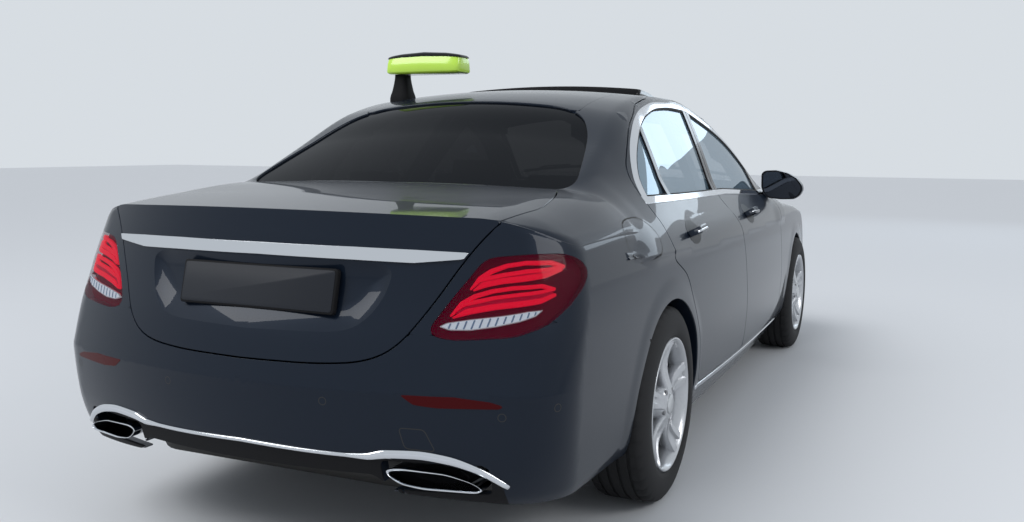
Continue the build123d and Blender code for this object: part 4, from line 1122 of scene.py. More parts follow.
STRIP_LINE = [
    (-1.254, 0.75), (-1.234, 0.76), (-1.178, 0.77), (-1.098, 0.781), (-1.036, 0.792), (-0.994, 0.7945),
    (-1.016, 0.78), (-1.06, 0.767), (-1.121, 0.753), (-1.181, 0.743), (-1.23, 0.742),
]
for made in inlay("tail_lamp_lens", grown(tail_lamp_cut, -0.0015), 0.0, LENS_RED, refine=2, slot="lamp_red"):
    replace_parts(made, "tail_lamps")
inlay("tail_lamp_housing", grown(tail_lamp_cut, 0.002), -0.022, LAMP_DARK, depth=0.004)
for i, outline in enumerate(LAMP_FILLS):
    inlay(f"tail_lamp_fill_{i}", corner_cut(outline, 0.006), -0.012, LAMP_FILL, refine=2, depth=0.008)
for i, outline in enumerate(LAMP_BANDS):
    inlay(f"tail_lamp_band_{i}", corner_cut(outline, 0.004), -0.007, LAMP_GLOW, refine=3, depth=0.012)
strip = corner_cut(STRIP_LINE, 0.004)
inlay("tail_lamp_strip_edge", strip, -0.006, CHROME, refine=3, depth=0.014)
inlay("tail_lamp_strip", grown(strip, -0.0022), -0.0052, LAMP_PALE, refine=3, depth=0.004)
RIB_HALF, RIB_LEAN, RIB_FOOT_Z = 0.0016, 0.5, 0.76
for i, at in enumerate(np.linspace(-1.225, -1.03, 12)):
    rib = lambda p, at=at: np.abs(
        (np.abs(p[:, 0]) + p[:, 1]) * math.sqrt(0.5) - at - RIB_LEAN * (p[:, 2] - RIB_FOOT_Z)
    ) - RIB_HALF
    inlay(f"tail_lamp_rib_{i}", both(rib, grown(strip, -0.003)), -0.0042, LAMP_RIB, refine=3, depth=0.002)

# Headlamps: clear lens, dark housing, two lights and a pale line; dark backing behind the grille
lamp_area = both(apart_from(headlamp_cut, bonnet_gap, grown(grille_cut, PANEL_GAP)), on_side)
for made in inlay("headlamp_lens", grown(lamp_area, -0.0015), 0.0, LENS_CLEAR, slot="lamp_clear"):
    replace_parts(made, "headlamps")
inlay("headlamp_housing", grown(lamp_area, 0.002), -0.030, LAMP_BLACK, depth=0.004)
LINE_TOP_Z = 0.735
lamp_edge = apart_from(grown(lamp_area, -0.008), grown(lamp_area, -0.015))
lamp_line = both(lamp_edge, lambda p: p[:, 2] - LINE_TOP_Z)
inlay("headlamp_line", lamp_line, -0.020, LAMP_WHITE, refine=3, depth=0.010)
LIGHTS = ((0.575, 0.738, 0.034), (0.680, 0.744, 0.030))  # across, up, radius
for i, (x, z, radius) in enumerate(LIGHTS):
    away = lambda p, x=x, z=z: np.hypot(np.abs(p[:, 0]) - x, p[:, 2] - z)
    for word, outer, inner, lift, finish in (
        ("ring", radius, radius - 0.006, -0.014, CHROME), ("bulb", radius - 0.008, -1, -0.021, STEEL),
        ("glass", radius - 0.012, -1, -0.0195, LAMP_WHITE),
    ):
        band = lambda p, d=away, a=outer, b=inner: np.maximum(np.maximum(d(p) - a, b - d(p)), 2.0 - p[:, 1])
        inlay(f"headlamp_{word}_{i}", band, lift, finish, refine=3, depth=0.012)
inlay("grille_backing", grown(grille_cut, 0.004), -0.045, BLACK_PLASTIC, refine=0, depth=0.004, sides=False)
border = apart_from(grown(windscreen_cut, -0.004), grown(windscreen_cut, -0.034))
inlay("windscreen_border", border, -0.0035, BLACK_PLASTIC, refine=0, depth=0.0005, sides=False)

# Fuel flap and tow cover: fine dark lines of painted shade where their gaps are
FLAP_LINE = [
    (-1.7, 0.905), (-1.683, 0.977), (-1.613, 0.993), (-1.483, 0.994), (-1.425, 0.965), (-1.393, 0.921),
    (-1.43, 0.88), (-1.533, 0.855), (-1.64, 0.858),
]
flap = side_cut(FLAP_LINE, 0.05)
flap_line = both(lambda p: np.abs(flap(p)) - 0.0017, on_side, right_half)
inlay("fuel_flap_gap_shade", flap_line, 0.0001, RUBBER_AND_GAP_SHADE, refine=3, depth=0.001, sides=False)
TOW_LINE = [(0.478, 0.484), (0.545, 0.483), (0.572, 0.424), (0.492, 0.428)]
tow = front_cut(TOW_LINE, front=-2.0, radius=0.012)
tow_line = both(lambda p: np.abs(tow(p)) - 0.0012, right_half)
inlay("tow_cover_gap_shade", tow_line, 0.0001, RUBBER_AND_GAP_SHADE, refine=3, depth=0.001, sides=False)

# Exhaust tips: flattened pipes, cut on a slant to follow the bumper
TIP_OUTLINE = [
    (0.436, 0.366), (0.47, 0.3735), (0.6, 0.364), (0.668, 0.344), (0.696, 0.326), (0.68, 0.316),
    (0.54, 0.318), (0.48, 0.328), (0.452, 0.346),
]
TIP_ROWS = ((1, 0.16), (1, 0.004), (0.995, 0.001), (0.975, 0), (0.955, 0.002), (0.945, 0.008), (0.9, 0.1))
TIP_FACE_Y, TIP_SLANT, TIP_FLATTER = -2.412, 0.27, 4.2
tip_ring = np.array(rounded(TIP_OUTLINE, 0.02, 4))
tip_x, tip_z = tip_ring.mean(0)
face_y = TIP_FACE_Y + TIP_SLANT * np.maximum(tip_ring[:, 0] - 0.43, 0)
rings = []
for share, back in TIP_ROWS:
    across = (tip_ring[:, 0] - tip_x) * share + tip_x
    up = tip_z + (tip_ring[:, 1] - tip_z) * (1 - (1 - share) * TIP_FLATTER)
    rings.append(np.column_stack([across, face_y + back, up]))
shell_points, shell_tris = np.concatenate(rings), ring_tris(len(rings), len(tip_ring), False)
plug = np.concatenate([rings[-1], rings[-1].mean(0)[None]])
k = np.arange(len(tip_ring))
plug_tris = np.column_stack([k, (k + 1) % len(k), np.full_like(k, len(k))])
for side, sign in SIDES:
    flip = np.array((sign, 1, 1))
    order = slice(None, None, 1 if sign < 0 else -1)
    smooth_by_angle(piece(f"exhaust_tip_{side}", shell_points * flip, shell_tris[:, order], CHROME))
    piece(f"exhaust_inside_{side}", plug * flip, plug_tris[:, order], BLACK_PLASTIC)

# Exhaust: pipes under the floor, two silencers, hangers and a short link to each tip
def box_piece(name, low, high, finish, corner):
    """A block with rounded corners all the way along its length in Y."""
    low, high = np.array(low), np.array(high)
    half, middle = (high - low) / 2, (high + low) / 2
    corners = [(-half[0], -half[2]), (half[0], -half[2]), (half[0], half[2]), (-half[0], half[2])]
    outline = np.array(rounded(corners, corner, 4))
    rings = []
    for y, inset in ((-half[1], corner), (-half[1] + corner * 0.3, corner * 0.3), (-half[1] + corner, 0)):
        across, up = (outline * (1 - inset / half[[0, 2]])).T
        rings.append(np.column_stack([across, np.full(len(outline), y), up]))
    rings += [ring * (1, -1, 1) for ring in rings[::-1]]
    points = np.concatenate(rings) + middle
    return smooth_by_angle(piece(name, points, ring_tris(6, len(outline), True), finish, BODY))


silencer = box_piece("rear_silencer", (-0.61, -2.14, 0.195), (0.61, -1.92, 0.33), EXHAUST, 0.045)
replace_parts(silencer, "exhaust")
box_piece("centre_silencer", (-0.085, 0.04, 0.168), (0.085, 0.44, 0.244), EXHAUST, 0.03)
PIPE_RADIUS = 0.028
LINK = [(0.562, -2.12, 0.295), (0.562, -2.17, 0.31), (0.562, -2.24, 0.335)]
for name, path in (
    ("front_pipe", [(0, 0.88, 0.205), (0, 0.30, 0.205)]),
    ("rear_pipe", [(0, 0.20, 0.205), (0, -1.95, 0.215)]),
    ("link_right", LINK),
    ("link_left", [(-x, y, z) for x, y, z in LINK]),
):
    pipe = swept(along_line(path, 12), np.tile((1.0, 0, 0), (12, 1)), oval(PIPE_RADIUS, PIPE_RADIUS, 20))
    smooth_by_angle(piece(name, *pipe, EXHAUST))
for at in (-0.49, 0.49):
    box_piece("hanger", (at - 0.01, -2.05, 0.32), (at + 0.01, -2.03, 0.42), RUBBER_AND_GAP_SHADE, 0.004)

# Seats: crowned, stitched pads
SEAM_DEPTH, SEAM_WIDTH = 0.006, 0.0045
SEAM_STEPS = (-0.014, -0.007, -0.003, 0, 0.003, 0.007, 0.014)


def pad(name, low, high, width, thick, at=0.0, bolster=0.0, across=(), down=(), finish=LEATHER, soft=True):
    """A stuffed slab between two places in (y, z), its face crowned and its sides pulled in."""
    low, high = np.array(low, float), np.array(high, float)
    along = high - low
    length = np.linalg.norm(along)
    along /= length

    def spread(cuts, half):
        even = np.sin(np.linspace(-1, 1, 25) * math.pi / 2)
        near = [c + d / half for c in cuts for d in SEAM_STEPS]
        return np.unique(np.round(np.concatenate([even, near]), 3))

    a, b = np.meshgrid(spread(across, length / 2), spread(down, width / 2), indexing="ij")
    full = np.sqrt(np.clip((1 - a**6) * (1 - b**6), 0, 1))
    face = thick / 2 * full * (0.90 + 0.10 * (1 - a**2) * (1 - b**2))
    face += bolster * full * np.exp(-(((np.abs(b) - 0.80) / 0.17) ** 2))
    reach = np.abs(b) < 0.60 if bolster else 1
    for c in across:
        face -= SEAM_DEPTH * full * np.exp(-((((a - c) * length / 2) / SEAM_WIDTH) ** 2)) * reach
    for c in down:
        face -= SEAM_DEPTH * full * np.exp(-((((b - c) * width / 2) / SEAM_WIDTH) ** 2))
    wide = b * (1 - 0.02 * (1 - a**2) - 0.05 * a**8 * b**8)
    long = a * (1 - 0.02 * (1 - b**2) - 0.05 * a**8 * b**8)
    middle = (low + high) / 2

    def placed(height):
        return np.column_stack([
            (at + wide * width / 2).ravel(),
            (middle[0] + long * length / 2 * along[0] + height * along[1]).ravel(),
            (middle[1] + long * length / 2 * along[1] - height * along[0]).ravel(),
        ])

    n, m = a.shape
    index = np.arange(n * m).reshape(n, m)
    under = index + n * m
    rim = np.ones((n, m), bool)
    rim[1:-1, 1:-1] = False
    under = np.where(rim, index, under)

    def quads(grid):
        corners = grid[:-1, :-1], grid[1:, :-1], grid[1:, 1:], grid[:-1, 1:]
        p, q, r, t = (corner.ravel() for corner in corners)
        return np.concatenate([np.column_stack([p, q, r]), np.column_stack([p, r, t])])

    points = np.concatenate([placed(face), placed(-thick / 2 * full * 0.94)])
    tris = np.concatenate([quads(index)[:, ::-1], quads(under)])
    used, tris = np.unique(tris, return_inverse=True)
    tris = tris.reshape(-1, 3)
    made = piece(name, points[used], tris, finish, slot="seat" if soft else None)
    if soft:
        loop = np.concatenate([index[0, :-1], index[:-1, -1], index[-1, :0:-1], index[:0:-1, 0]])
        ups = np.tile((0.0, along[1], -along[0]), (len(loop), 1))
        piping = swept(points[loop], ups, oval(0.0026, 0.0026, 8), closed=True)
        piece(f"{name}_piping", *piping, PIPING)
    return made


SEAT_X, SEAT_WIDTH, BENCH_WIDTH, HEADREST_WIDTH = 0.37, 0.50, 1.20, 0.235
for side, sign in SIDES:
    at = SEAT_X * sign
    cushion = pad(
        f"front_cushion_{side}", (0.432, 0.432), (-0.048, 0.402), SEAT_WIDTH, 0.115, at, 0.012,
        across=(-0.35, 0.25), down=(-0.58, 0.58),
    )
    pad(
        f"front_backrest_{side}", (-0.094, 0.462), (-0.277, 0.958), SEAT_WIDTH, 0.108, at, 0.010,
        across=(-0.30, 0.10, 0.50), down=(-0.56, 0.56),
    )
    pad(f"front_headrest_{side}", (-0.284, 1.010), (-0.259, 1.150), HEADREST_WIDTH, 0.074, at)
    if sign > 0:
        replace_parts(cushion, "front_seats")
    for post in (-0.06, 0.06):
        path = [(at + post, -0.292, 0.93), (at + post, -0.290, 1.04)]
        rod = swept(path, [(1.0, 0, 0)] * 2, oval(0.006, 0.006, 14))
        smooth_by_angle(piece("headrest_post", *rod, SATIN_CHROME))
    for rail in (-0.2, 0.2):
        low, high = (at + rail - 0.015, -0.10, FLOOR_TOP), (at + rail + 0.015, 0.38, 0.36)
        box_piece("seat_rail", low, high, BLACK_PLASTIC, 0.006)
BENCH_SEAMS = (-0.34, 0.34)
rear_cushion = pad(
    "rear_cushion", (-0.458, 0.437), (-0.965, 0.432), BENCH_WIDTH, 0.112, 0, 0, (-0.40, 0.25), BENCH_SEAMS
)
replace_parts(rear_cushion, "rear_seat")
pad("rear_backrest", (-0.990, 0.470), (-1.137, 0.942), BENCH_WIDTH, 0.112, 0, 0, (-0.30, 0.35), BENCH_SEAMS)
pad("rear_seat_board", (-1.196, 0.385), (-1.207, 0.950), 1.21, 0.030, finish=UNDERBODY, soft=False)
for name, at in (("left", -0.4), ("middle", 0.0), ("right", 0.4)):
    pad(f"rear_headrest_{name}", (-1.139, 0.984), (-1.119, 1.110), HEADREST_WIDTH, 0.066, at)

# Steering wheel
HUB_LINE = [
    (0.0145, 0), (0.014, 0.035), (0.01, 0.054), (0, 0.064), (-0.009, 0.064), (-0.009, 0.029),
    (-0.105, 0.029),
]
SPOKE_REACH = (0.05, 0.09, 0.13, 0.168)
SPOKE_HALF = (0.024, 0.019, 0.017, 0.021)
STEERING_RADIUS = 0.174
wheel_middle = np.array((-0.370, 0.500, 0.830))
wheel_out = np.array((0, -1, 0.45)) / math.hypot(1, 0.45)
wheel_up = np.cross(wheel_out, (1.0, 0, 0))
t = np.linspace(0, 2 * math.pi, 72, endpoint=False)
circle = np.cos(t)[:, None] * (1.0, 0, 0) + np.sin(t)[:, None] * wheel_up
path = wheel_middle + wheel_out * 0.003 + STEERING_RADIUS * circle
points, tris = swept(path, np.tile(wheel_out, (72, 1)), oval(0.0138, 0.0118, 14), closed=True)
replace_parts(piece("steering_wheel_rim", points, tris, LEATHER, BODY, slot="dash"), "steering_wheel")
points, tris = turned(HUB_LINE, 48)
points = points @ np.array([wheel_out, wheel_up, (-1.0, 0, 0)]) + wheel_middle
smooth_by_angle(piece("steering_wheel_hub", points, tris[:, ::-1], DASH))
for turn in (0, math.pi, -math.pi / 2):
    way = math.cos(turn) * np.array((1.0, 0, 0)) + math.sin(turn) * wheel_up
    path = [wheel_middle + way * r + wheel_out * 0.002 for r in SPOKE_REACH]
    spoke = swept(path, [wheel_out] * 4, np.stack([oval(half, 0.006, 16, 4) for half in SPOKE_HALF]))
    smooth_by_angle(piece("steering_wheel_spoke", *spoke, SATIN_CHROME))

# Number plate, blank, and parking sensors
PLATE_HALF = np.array((0.26, 0.057))
PLATE_LOW_Z, PLATE_HIGH_Z = 0.768, 0.882
plate_at = rear_points(recess_face, [0.0, 0.0], [PLATE_LOW_Z, PLATE_HIGH_Z])
plate_up = plate_at[1] - plate_at[0]
plate_up /= np.linalg.norm(plate_up)
plate_out = np.cross(plate_up, (1.0, 0, 0))
plate_out *= -np.sign(plate_out[1])
plate_middle = plate_at.mean(0)
ring = np.array(rounded([PLATE_HALF * way for way in ((-1, -1), (1, -1), (1, 1), (-1, 1))], 0.010, 4))
for name, grow, steps, finish in (
    ("plate_holder", 0.006, ((0, -0.012), (0, 0.003), (-0.002, 0.005)), BLACK_PLASTIC),
    ("number_plate", 0.0, ((0, 0.002), (0, 0.0062), (-0.001, 0.0070)), PLATE),
):
    rings = []
    for extra, lift in steps:
        wide, high = 1 + (grow + extra) / PLATE_HALF
        across, up = ring[:, :1] * wide * (1.0, 0, 0), ring[:, 1:] * high * plate_up
        rings.append(plate_middle + across + up + plate_out * lift)
    points, tris = np.concatenate(rings), ring_tris(3, len(ring), True)
    smooth_by_angle(piece(name, points, tris, finish, "boot_lid"))
# Parking sensors: each drawn as a fine dark ring of painted shade where its gap is
SENSORS = [(0.268, -2.444, 0.542), (0.742, -2.327, 0.524), (0.859, -2.231, 0.541)]
SENSOR_RADIUS, LINE_HALF = 0.0105, 0.0010
for i, at in enumerate(SENSORS):
    ring_cut = lambda p, at=at: np.abs(
        np.linalg.norm(np.abs(p) * (1, -1, 1) - np.array(at), axis=1) - SENSOR_RADIUS
    ) - LINE_HALF
    inlay(f"sensor_line_{i}", ring_cut, 0.0001, RUBBER_AND_GAP_SHADE, refine=4, depth=0.001)

# Door mirrors: a rounded shell, dark glass facing back, and a foot on the door
MIRROR_Y, MIRROR_Z = 0.850, 1.030
MIRROR_LINE = [
    (0.814, -0.02), (0.813, 0.054), (0.832, 0.069), (0.89, 0.072), (0.95, 0.058), (0.998, 0.031),
    (1.027, -0.004), (1.0322, -0.03), (1.018, -0.06), (0.99, -0.08), (0.92, -0.083), (0.852, -0.077),
    (0.828, -0.058),
]
MIRROR_ROWS = (  # share of the outline, and ahead of the mirror's middle
    (0.955, -0.056), (0.985, -0.058), (1, -0.052), (1, -0.02), (0.97, 0.015), (0.89, 0.036), (0.74, 0.051),
    (0.5, 0.0585), (0.2, 0.06),
)
outline = np.array(rounded(MIRROR_LINE, 0.012, 3))
mirror_centre = outline.mean(0)


def mirror_ring(share, ahead):
    across, up = ((outline - mirror_centre) * share + mirror_centre).T
    return np.column_stack([across, np.full(len(outline), MIRROR_Y + ahead), MIRROR_Z + up])


shell_points = np.concatenate([mirror_ring(*row) for row in MIRROR_ROWS])
shell_tris = ring_tris(len(MIRROR_ROWS), len(outline), True)
glass_points, back_points = mirror_ring(0.90, -0.0565), mirror_ring(0.955, -0.056)
k = np.arange(1, len(outline) - 1)
face_tris = np.column_stack([np.zeros_like(k), k, k + 1])
foot_path = along_line([(0.775, 0.868, 0.968), (0.82, 0.862, 0.972), (0.885, 0.850, 0.980)], 14)
foot_ovals = np.stack([oval(0.046 - 0.010 * t, 0.016, 20, 2.6) for t in np.linspace(0, 1, 14)])
foot_points, foot_tris = swept(foot_path, np.tile((0.0, 0.0, 1.0), (14, 1)), foot_ovals)
for side, sign in SIDES:
    body = f"front_door_{side}"
    flip = np.array((sign, 1, 1))
    order = slice(None, None, sign)
    shell = piece(f"mirror_shell_{side}", shell_points * flip, shell_tris[:, ::-sign], PAINT, body)
    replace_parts(smooth_by_angle(shell, 60), f"door_mirror_{side}")
    for word, points, back, finish in (
        ("back", back_points, 0.0004, BLACK_PLASTIC), ("glass", glass_points, 0.002, MIRROR_GLASS),
    ):
        piece(f"mirror_{word}_{side}", points * flip - (0, back, 0), face_tris[:, order], finish, body)
    foot = piece(f"mirror_foot_{side}", foot_points * flip, foot_tris[:, order], BLACK_GLOSS, body)
    smooth_by_angle(foot, 60)

# Door handles: a bar in the body paint with a chrome strip, over a dark patch of painted shade that stands
# for the hollow under it and the bar's shadow
HANDLES = {"rear": (-1.050, -0.872, 0.903, 0.908), "front": (0.004, 0.182, 0.912, 0.910)}  # along, up
HANDLE_STAND, CUP_RADIUS, CUP_STRETCH = 0.036, 0.043, 1.95
for word, (back_y, front_y, back_z, front_z) in HANDLES.items():
    body = word + "_door_{side}"
    t = np.linspace(0, 1, 30)
    on_skin = side_points(body_field, np.linspace(back_y, front_y, 30), np.linspace(back_z, front_z, 30))
    out = normals_of(body_field, on_skin)
    stand = 0.002 + HANDLE_STAND * np.minimum(1, np.minimum(t, 1 - t) / 0.2) ** 0.5
    path = on_skin + out * stand[:, None]
    profiles = np.stack([oval(0.0115 + 0.004 * math.sin(math.pi * v), 0.0055, 16, 2.8) for v in t])
    points, tris = swept(path, out, profiles)
    both_sides(f"{word}_door_handle", (points, tris, None), PAINT, body)
    strip = path[3:-3] + out[3:-3] * 0.0050 + (0, 0, -0.0035)
    points, tris = swept(strip, out[3:-3], oval(0.0052, 0.0028, 12))
    both_sides(f"{word}_handle_strip", (points, tris, None), CHROME, body)
    # The hollow is not cut: a flat dark patch of painted shade stands for it and for the bar's shadow
    mid_y, mid_z = (back_y + front_y) / 2 - 0.004, (back_z + front_z) / 2 + 0.002
    cup = lambda p, y=mid_y, z=mid_z: np.hypot((p[:, 1] - y) / CUP_STRETCH, p[:, 2] - z) - CUP_RADIUS
    cup_cut = both(cup, lambda p: 0.5 - np.abs(p[:, 0]))
    inlay(f"{word}_handle_cup", cup_cut, 0.0007, CUP_SHADE, body, refine=2, depth=0.003)

# Roof sign: lime body, black cap and foot, nothing written on it
sign_low, sign_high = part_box("taxi_sign")
SIGN_ROWS = ((0, 0.92, 0.88), (0.05, 0.975, 0.97), (0.12, 0.99, 1), (0.5, 0.985, 0.92), (0.79, 0.965, 0.82))
CAP_ROWS = ((0.785, 0.972, 0.83), (0.8, 0.99, 0.86), (0.9, 0.98, 0.8), (0.975, 0.955, 0.66), (1, 0.91, 0.5))
sign_centre = (sign_low + sign_high) / 2
sign_half = (sign_high - sign_low) / 2


def rounded_stack(rows):
    """Squarish rounded outlines one above the other, as shares of the sign's box."""
    rings = []
    for up, wide, deep in rows:
        ring = oval(sign_half.x * wide, sign_half.y * deep, 56, 9.0)
        bow = 0.0035 * math.sin(math.pi * min(up, 1)) * np.cos(ring[:, 0] / sign_half.x * math.pi / 2)
        rings.append(np.column_stack([
            sign_centre.x + ring[:, 0], sign_centre.y + ring[:, 1] + np.sign(ring[:, 1]) * bow,
            sign_low.z + up * 2 * sign_half.z - 0.017 * max(up, 0) ** 3 * (ring[:, 0] / sign_half.x) ** 2,
        ]))
    return np.concatenate(rings), ring_tris(len(rings), 56, True)


sign_body = piece("sign_body", *rounded_stack(SIGN_ROWS), SIGN_GREEN, slot="sign")
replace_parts(smooth_by_angle(sign_body, 40), "taxi_sign")
smooth_by_angle(piece("sign_cap", *rounded_stack(CAP_ROWS), BLACK_GLOSS), 40)
foot_x = -0.47
roof_z = top_points(body_field, [foot_x], [sign_centre.y])[0, 2]
FOOT_ROWS = (
    (-0.15, 0.047, 0.055), (0.06, 0.047, 0.055), (0.18, 0.045, 0.05), (0.34, 0.04, 0.043),
    (0.62, 0.034, 0.036), (0.84, 0.03, 0.033), (0.996, 0.029, 0.032),
)
rings = []
for up, wide, deep in FOOT_ROWS:
    across, along = oval(wide, deep, 40, 3.5).T
    height = np.full(40, roof_z + up * (sign_low.z - roof_z))
    rings.append(np.column_stack([foot_x + across, sign_centre.y + along, height]))
foot = piece("sign_foot_body", np.concatenate(rings), ring_tris(len(rings), 40, True), BLACK_PLASTIC)
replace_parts(smooth_by_angle(foot, 40), "sign_foot")

# Sunroof pane, raised at its back
PANE_TILT = math.radians(-3.6)
PANE_PIVOT = np.array((0, 0.290, 1.430))
pane_cut = both(grown(sunroof_cut, -0.0016), lambda p: 1.3 - p[:, 2])
points, tris, normals = skin(pane_cut, rows=edge_rows(0.030))
turn = np.array(Matrix.Rotation(PANE_TILT, 3, "X")).T
points = (points - PANE_PIVOT) @ turn + PANE_PIVOT
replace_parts(piece("sunroof_glass", points, tris, BLACK_GLOSS, BODY, normals @ turn), "sunroof_panel")

# Wheels
SPOKES = 5
SPOKE_INNER, SPOKE_OUTER = 0.055, 0.218
SPOKE_FACE, SPOKE_DISH, SPOKE_THICK = 0.104, 0.020, 0.045
BOLT_CIRCLE = 0.056
GROOVES = (-0.056, -0.019, 0.019, 0.056)
GROOVE_DEPTH, CUT_DEPTH = 0.0070, 0.0045


def spoke_mesh():
    """One wide spoke of a rim, in the wheel's plane: along the radius, across and out."""
    rings = []
    for r in np.linspace(SPOKE_INNER, SPOKE_OUTER, 14):
        t = (r - SPOKE_INNER) / (SPOKE_OUTER - SPOKE_INNER)
        half = 0.026 + 0.024 * t ** 1.5
        face = SPOKE_FACE - SPOKE_DISH * math.sin(math.pi * min(1, t * 1.05)) - 0.002 * t
        floor = face - 0.0085 * step_between(0.18, 0.5, t)
        groove = half * (0.10 + 0.16 * t)
        right = np.array([
            (half, face - 0.008), (half - 0.004, face), (groove + 0.006, face + 0.002), (groove, floor),
        ])
        left = right * (-1, 1)
        under = np.array([(half * 0.82, face - SPOKE_THICK), (-half * 0.82, face - SPOKE_THICK)])
        across, out = np.concatenate([left, right[::-1], under]).T
        rings.append(np.column_stack([out, np.full(10, r), across]))
    return np.concatenate(rings), ring_tris(len(rings), 10, True)


RIM_BARREL = [
    (-0.104, 0.206), (-0.11, 0.226), (-0.106, 0.232), (-0.1, 0.231), (-0.096, 0.222), (-0.06, 0.205),
    (0.06, 0.2), (0.092, 0.214), (0.098, 0.23), (0.104, 0.2325), (0.1085, 0.23), (0.109, 0.226),
    (0.104, 0.219), (0.092, 0.2125), (0.072, 0.206), (-0.04, 0.196), (-0.104, 0.198), (-0.104, 0.206),
]
TYRE_HALF = [
    (0.094, 0.2232), (0.1035, 0.233), (0.11, 0.242), (0.1125, 0.258), (0.1125, 0.276), (0.11, 0.294),
    (0.1045, 0.311), (0.0975, 0.323), (0.0895, 0.3325), (0.08, 0.3368),
]
HUB = [(0.03, 0.07), (0.09, 0.068), (0.1, 0.06), (0.1035, 0.045), (0.104, 0.036)]
CAP = [(0.1, 0.0365), (0.1065, 0.0355), (0.1095, 0.031), (0.1115, 0.018), (0.112, 0.0005)]
BOLT = [(0.088, 0.0105), (0.101, 0.0095), (0.103, 0.006), (0.103, 0.0003)]
DISC_LINE = [(-0.072, 0.13), (-0.066, 0.164), (-0.04, 0.164), (-0.034, 0.13), (-0.034, 0.075), (0.03, 0.07)]


def tyre_mesh():
    """A tyre with four grooves round it and cross cuts at its shoulders."""
    count = 160
    tread = []
    for centre in GROOVES:
        for x, deep in ((-0.0056, 0), (-0.0040, GROOVE_DEPTH), (0.0040, GROOVE_DEPTH), (0.0056, 0)):
            tread.append((centre + x, WHEEL_RADIUS - abs(centre + x) ** 2 * 0.30 - deep))
    profile = [(-x, r) for x, r in TYRE_HALF] + tread + TYRE_HALF[::-1]
    points, tris = turned(profile, count)
    radius = np.hypot(points[:, 1], points[:, 2])
    column = np.repeat(np.arange(count), len(profile))
    cut = (np.abs(points[:, 0]) > 0.060) & (radius > 0.3300) & (column % 4 == 0)
    points[:, 1:] *= np.where(cut, (radius - CUT_DEPTH) / radius, 1.0)[:, None]
    ring = np.hypot(points[:, 1], points[:, 2])
    points[:, 1:] *= np.minimum(1, WHEEL_RADIUS / ring)[:, None]
    return points, tris


tyre_points, tyre_tris = tyre_mesh()
spoke_points, spoke_tris = spoke_mesh()
barrel_points, barrel_tris = turned(RIM_BARREL, 96)
bolt_points, bolt_tris = turned(BOLT, 12)
for word, wheel_x, axle_y in (("front", FRONT_WHEEL_X, FRONT_AXLE_Y), ("rear", REAR_WHEEL_X, REAR_AXLE_Y)):
    for side, sign in SIDES:
        at = np.array((wheel_x * sign, axle_y, WHEEL_Z))
        body = f"{word}_wheel_{side}"

        def wheel_piece(name, points, tris, finish, angle=40):
            points = points * (sign, 1, 1) + at
            made = piece(f"{word}_{name}_{side}", points, tris[:, ::-sign], finish, body)
            return smooth_by_angle(made, angle)

        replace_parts(wheel_piece("tyre_body", tyre_points, tyre_tris, TYRE, 30), f"{word}_tyre_{side}")
        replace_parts(wheel_piece("rim_barrel", barrel_points, barrel_tris, SILVER, 30), f"{word}_rim_{side}")
        for k in range(SPOKES):
            angle = 2 * math.pi * k / SPOKES + math.pi / 2
            turn = np.array(Matrix.Rotation(angle, 3, "X"))
            wheel_piece(f"spoke_{k}", spoke_points @ turn.T, spoke_tris, SILVER, 45)
            bolt = math.pi / SPOKES + angle
            bolt_at = (0, BOLT_CIRCLE * math.cos(bolt), BOLT_CIRCLE * math.sin(bolt))
            wheel_piece(f"bolt_{k}", bolt_points + bolt_at, bolt_tris, STEEL)
        wheel_piece("hub", *turned(HUB, 64), SILVER)
        wheel_piece("cap", *turned(CAP, 64), SATIN_CHROME)
        wheel_piece("disc", *turned(DISC_LINE, 64), DISC)

# The part's own pieces get their finishes
FINISHES = {
    "paint": PAINT, "glass": CLEAR_GLASS, "dark_glass": DARK_GLASS, "chrome": CHROME, "tyre": TYRE,
    "black_plastic": BLACK_PLASTIC, "rim": SILVER, "steel": STEEL, "lamp_clear": LENS_CLEAR, "dash": DASH,
    "lamp_red": LENS_RED, "underbody": UNDERBODY, "engine": ENGINE, "seat": LEATHER, "sign": SIGN_GREEN,
}
for entry in frame["record"]["subparts"]:
    node = frame["nodes"][entry["node"]]
    node.data.materials.clear()
    node.data.materials.append(FINISHES[entry["material_slot"]])

# Camera, fitted to the photograph
YAW, PITCH, ROLL = math.radians(24.3816), math.radians(-6.6653), math.radians(0.3823)
camera = bpy.data.objects.new("camera", bpy.data.cameras.new("camera"))
camera.data.lens = 34.625
camera.data.sensor_width = 36.0
camera.data.clip_start = 0.05
camera.location = (1.78408, -4.57010, 1.22040)
aim = Vector((-math.sin(YAW) * math.cos(PITCH), math.cos(YAW) * math.cos(PITCH), math.sin(PITCH)))
level_right = aim.cross(Vector((0, 0, 1))).normalized()
level_up = level_right.cross(aim)
cam_right = math.cos(ROLL) * level_right + math.sin(ROLL) * level_up
cam_up = -math.sin(ROLL) * level_right + math.cos(ROLL) * level_up
camera.rotation_euler = Matrix((cam_right, cam_up, -aim)).transposed().to_euler()
bpy.context.scene.collection.objects.link(camera)
bpy.context.scene.camera = camera

# Stage: pale floor, pale surroundings and soft lamps
floor = bpy.data.objects.new("floor", bpy.data.meshes.new("floor"))
REACH = 40.0
corners = [(-REACH, -REACH, 0), (REACH, -REACH, 0), (REACH, REACH, 0), (-REACH, REACH, 0)]
floor.data.from_pydata(corners, [], [(0, 1, 2, 3)])
floor.data.materials.append(material("floor", (0.60, 0.615, 0.635), 0.0, 0.9))
bpy.context.scene.collection.objects.link(floor)


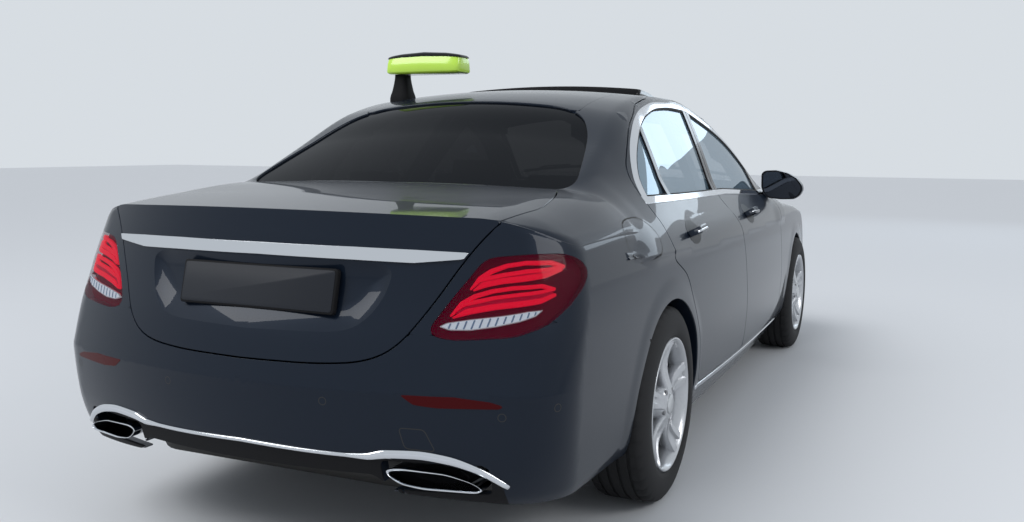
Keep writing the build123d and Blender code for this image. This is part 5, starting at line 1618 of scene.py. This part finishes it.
def lamp(name, place, aim_at, size, power, colour=(1, 1, 1)):
    light = bpy.data.lights.new(name, "AREA")
    light.shape = "RECTANGLE"
    light.size, light.size_y = size
    light.energy = power
    light.color = colour
    made = bpy.data.objects.new(name, light)
    made.location = place
    made.rotation_euler = (Vector(aim_at) - Vector(place)).to_track_quat("-Z", "Y").to_euler()
    made.visible_camera = False
    bpy.context.scene.collection.objects.link(made)


lamp("key", (-5.0, -7.0, 6.0), (0, -1.0, 0.6), (4.0, 3.0), 200)
lamp("side", (7.0, -2.0, 5.0), (0, 0, 0.6), (5.0, 2.0), 160)
lamp("strip", (3.2, 13.0, 4.6), (0.8, -1.0, 0.9), (8.0, 1.3), 70, (0.75, 0.88, 1.0))
sun = bpy.data.objects.new("sun", bpy.data.lights.new("sun", "SUN"))
sun.data.energy = 1.4
sun.data.angle = math.radians(35)
sun.visible_glossy = False
sun.rotation_euler = (math.radians(28), math.radians(-22), 0)
bpy.context.scene.collection.objects.link(sun)

world = bpy.data.worlds.new("surroundings")
bpy.context.scene.world = world
world.use_nodes = True
nodes, links = world.node_tree.nodes, world.node_tree.links
background = nodes["Background"]
background.inputs["Strength"].default_value = 0.6
background.inputs["Color"].default_value = (0.86, 0.92, 1.0, 1)
seen = nodes.new("ShaderNodeBackground")
seen.inputs["Color"].default_value = (0.80, 0.85, 0.90, 1)
seen.inputs["Strength"].default_value = 0.85
path = nodes.new("ShaderNodeLightPath")
either, any_of = nodes.new("ShaderNodeMath"), nodes.new("ShaderNodeMath")
either.operation = any_of.operation = "MAXIMUM"
mix = nodes.new("ShaderNodeMixShader")
links.new(path.outputs["Is Camera Ray"], either.inputs[0])
links.new(path.outputs["Is Glossy Ray"], either.inputs[1])
links.new(either.outputs[0], any_of.inputs[0])
links.new(path.outputs["Is Transmission Ray"], any_of.inputs[1])
links.new(any_of.outputs[0], mix.inputs["Fac"])
links.new(background.outputs["Background"], mix.inputs[1])
links.new(seen.outputs["Background"], mix.inputs[2])
links.new(mix.outputs["Shader"], nodes["World Output"].inputs["Surface"])
bpy.context.scene.view_settings.view_transform = "Standard"
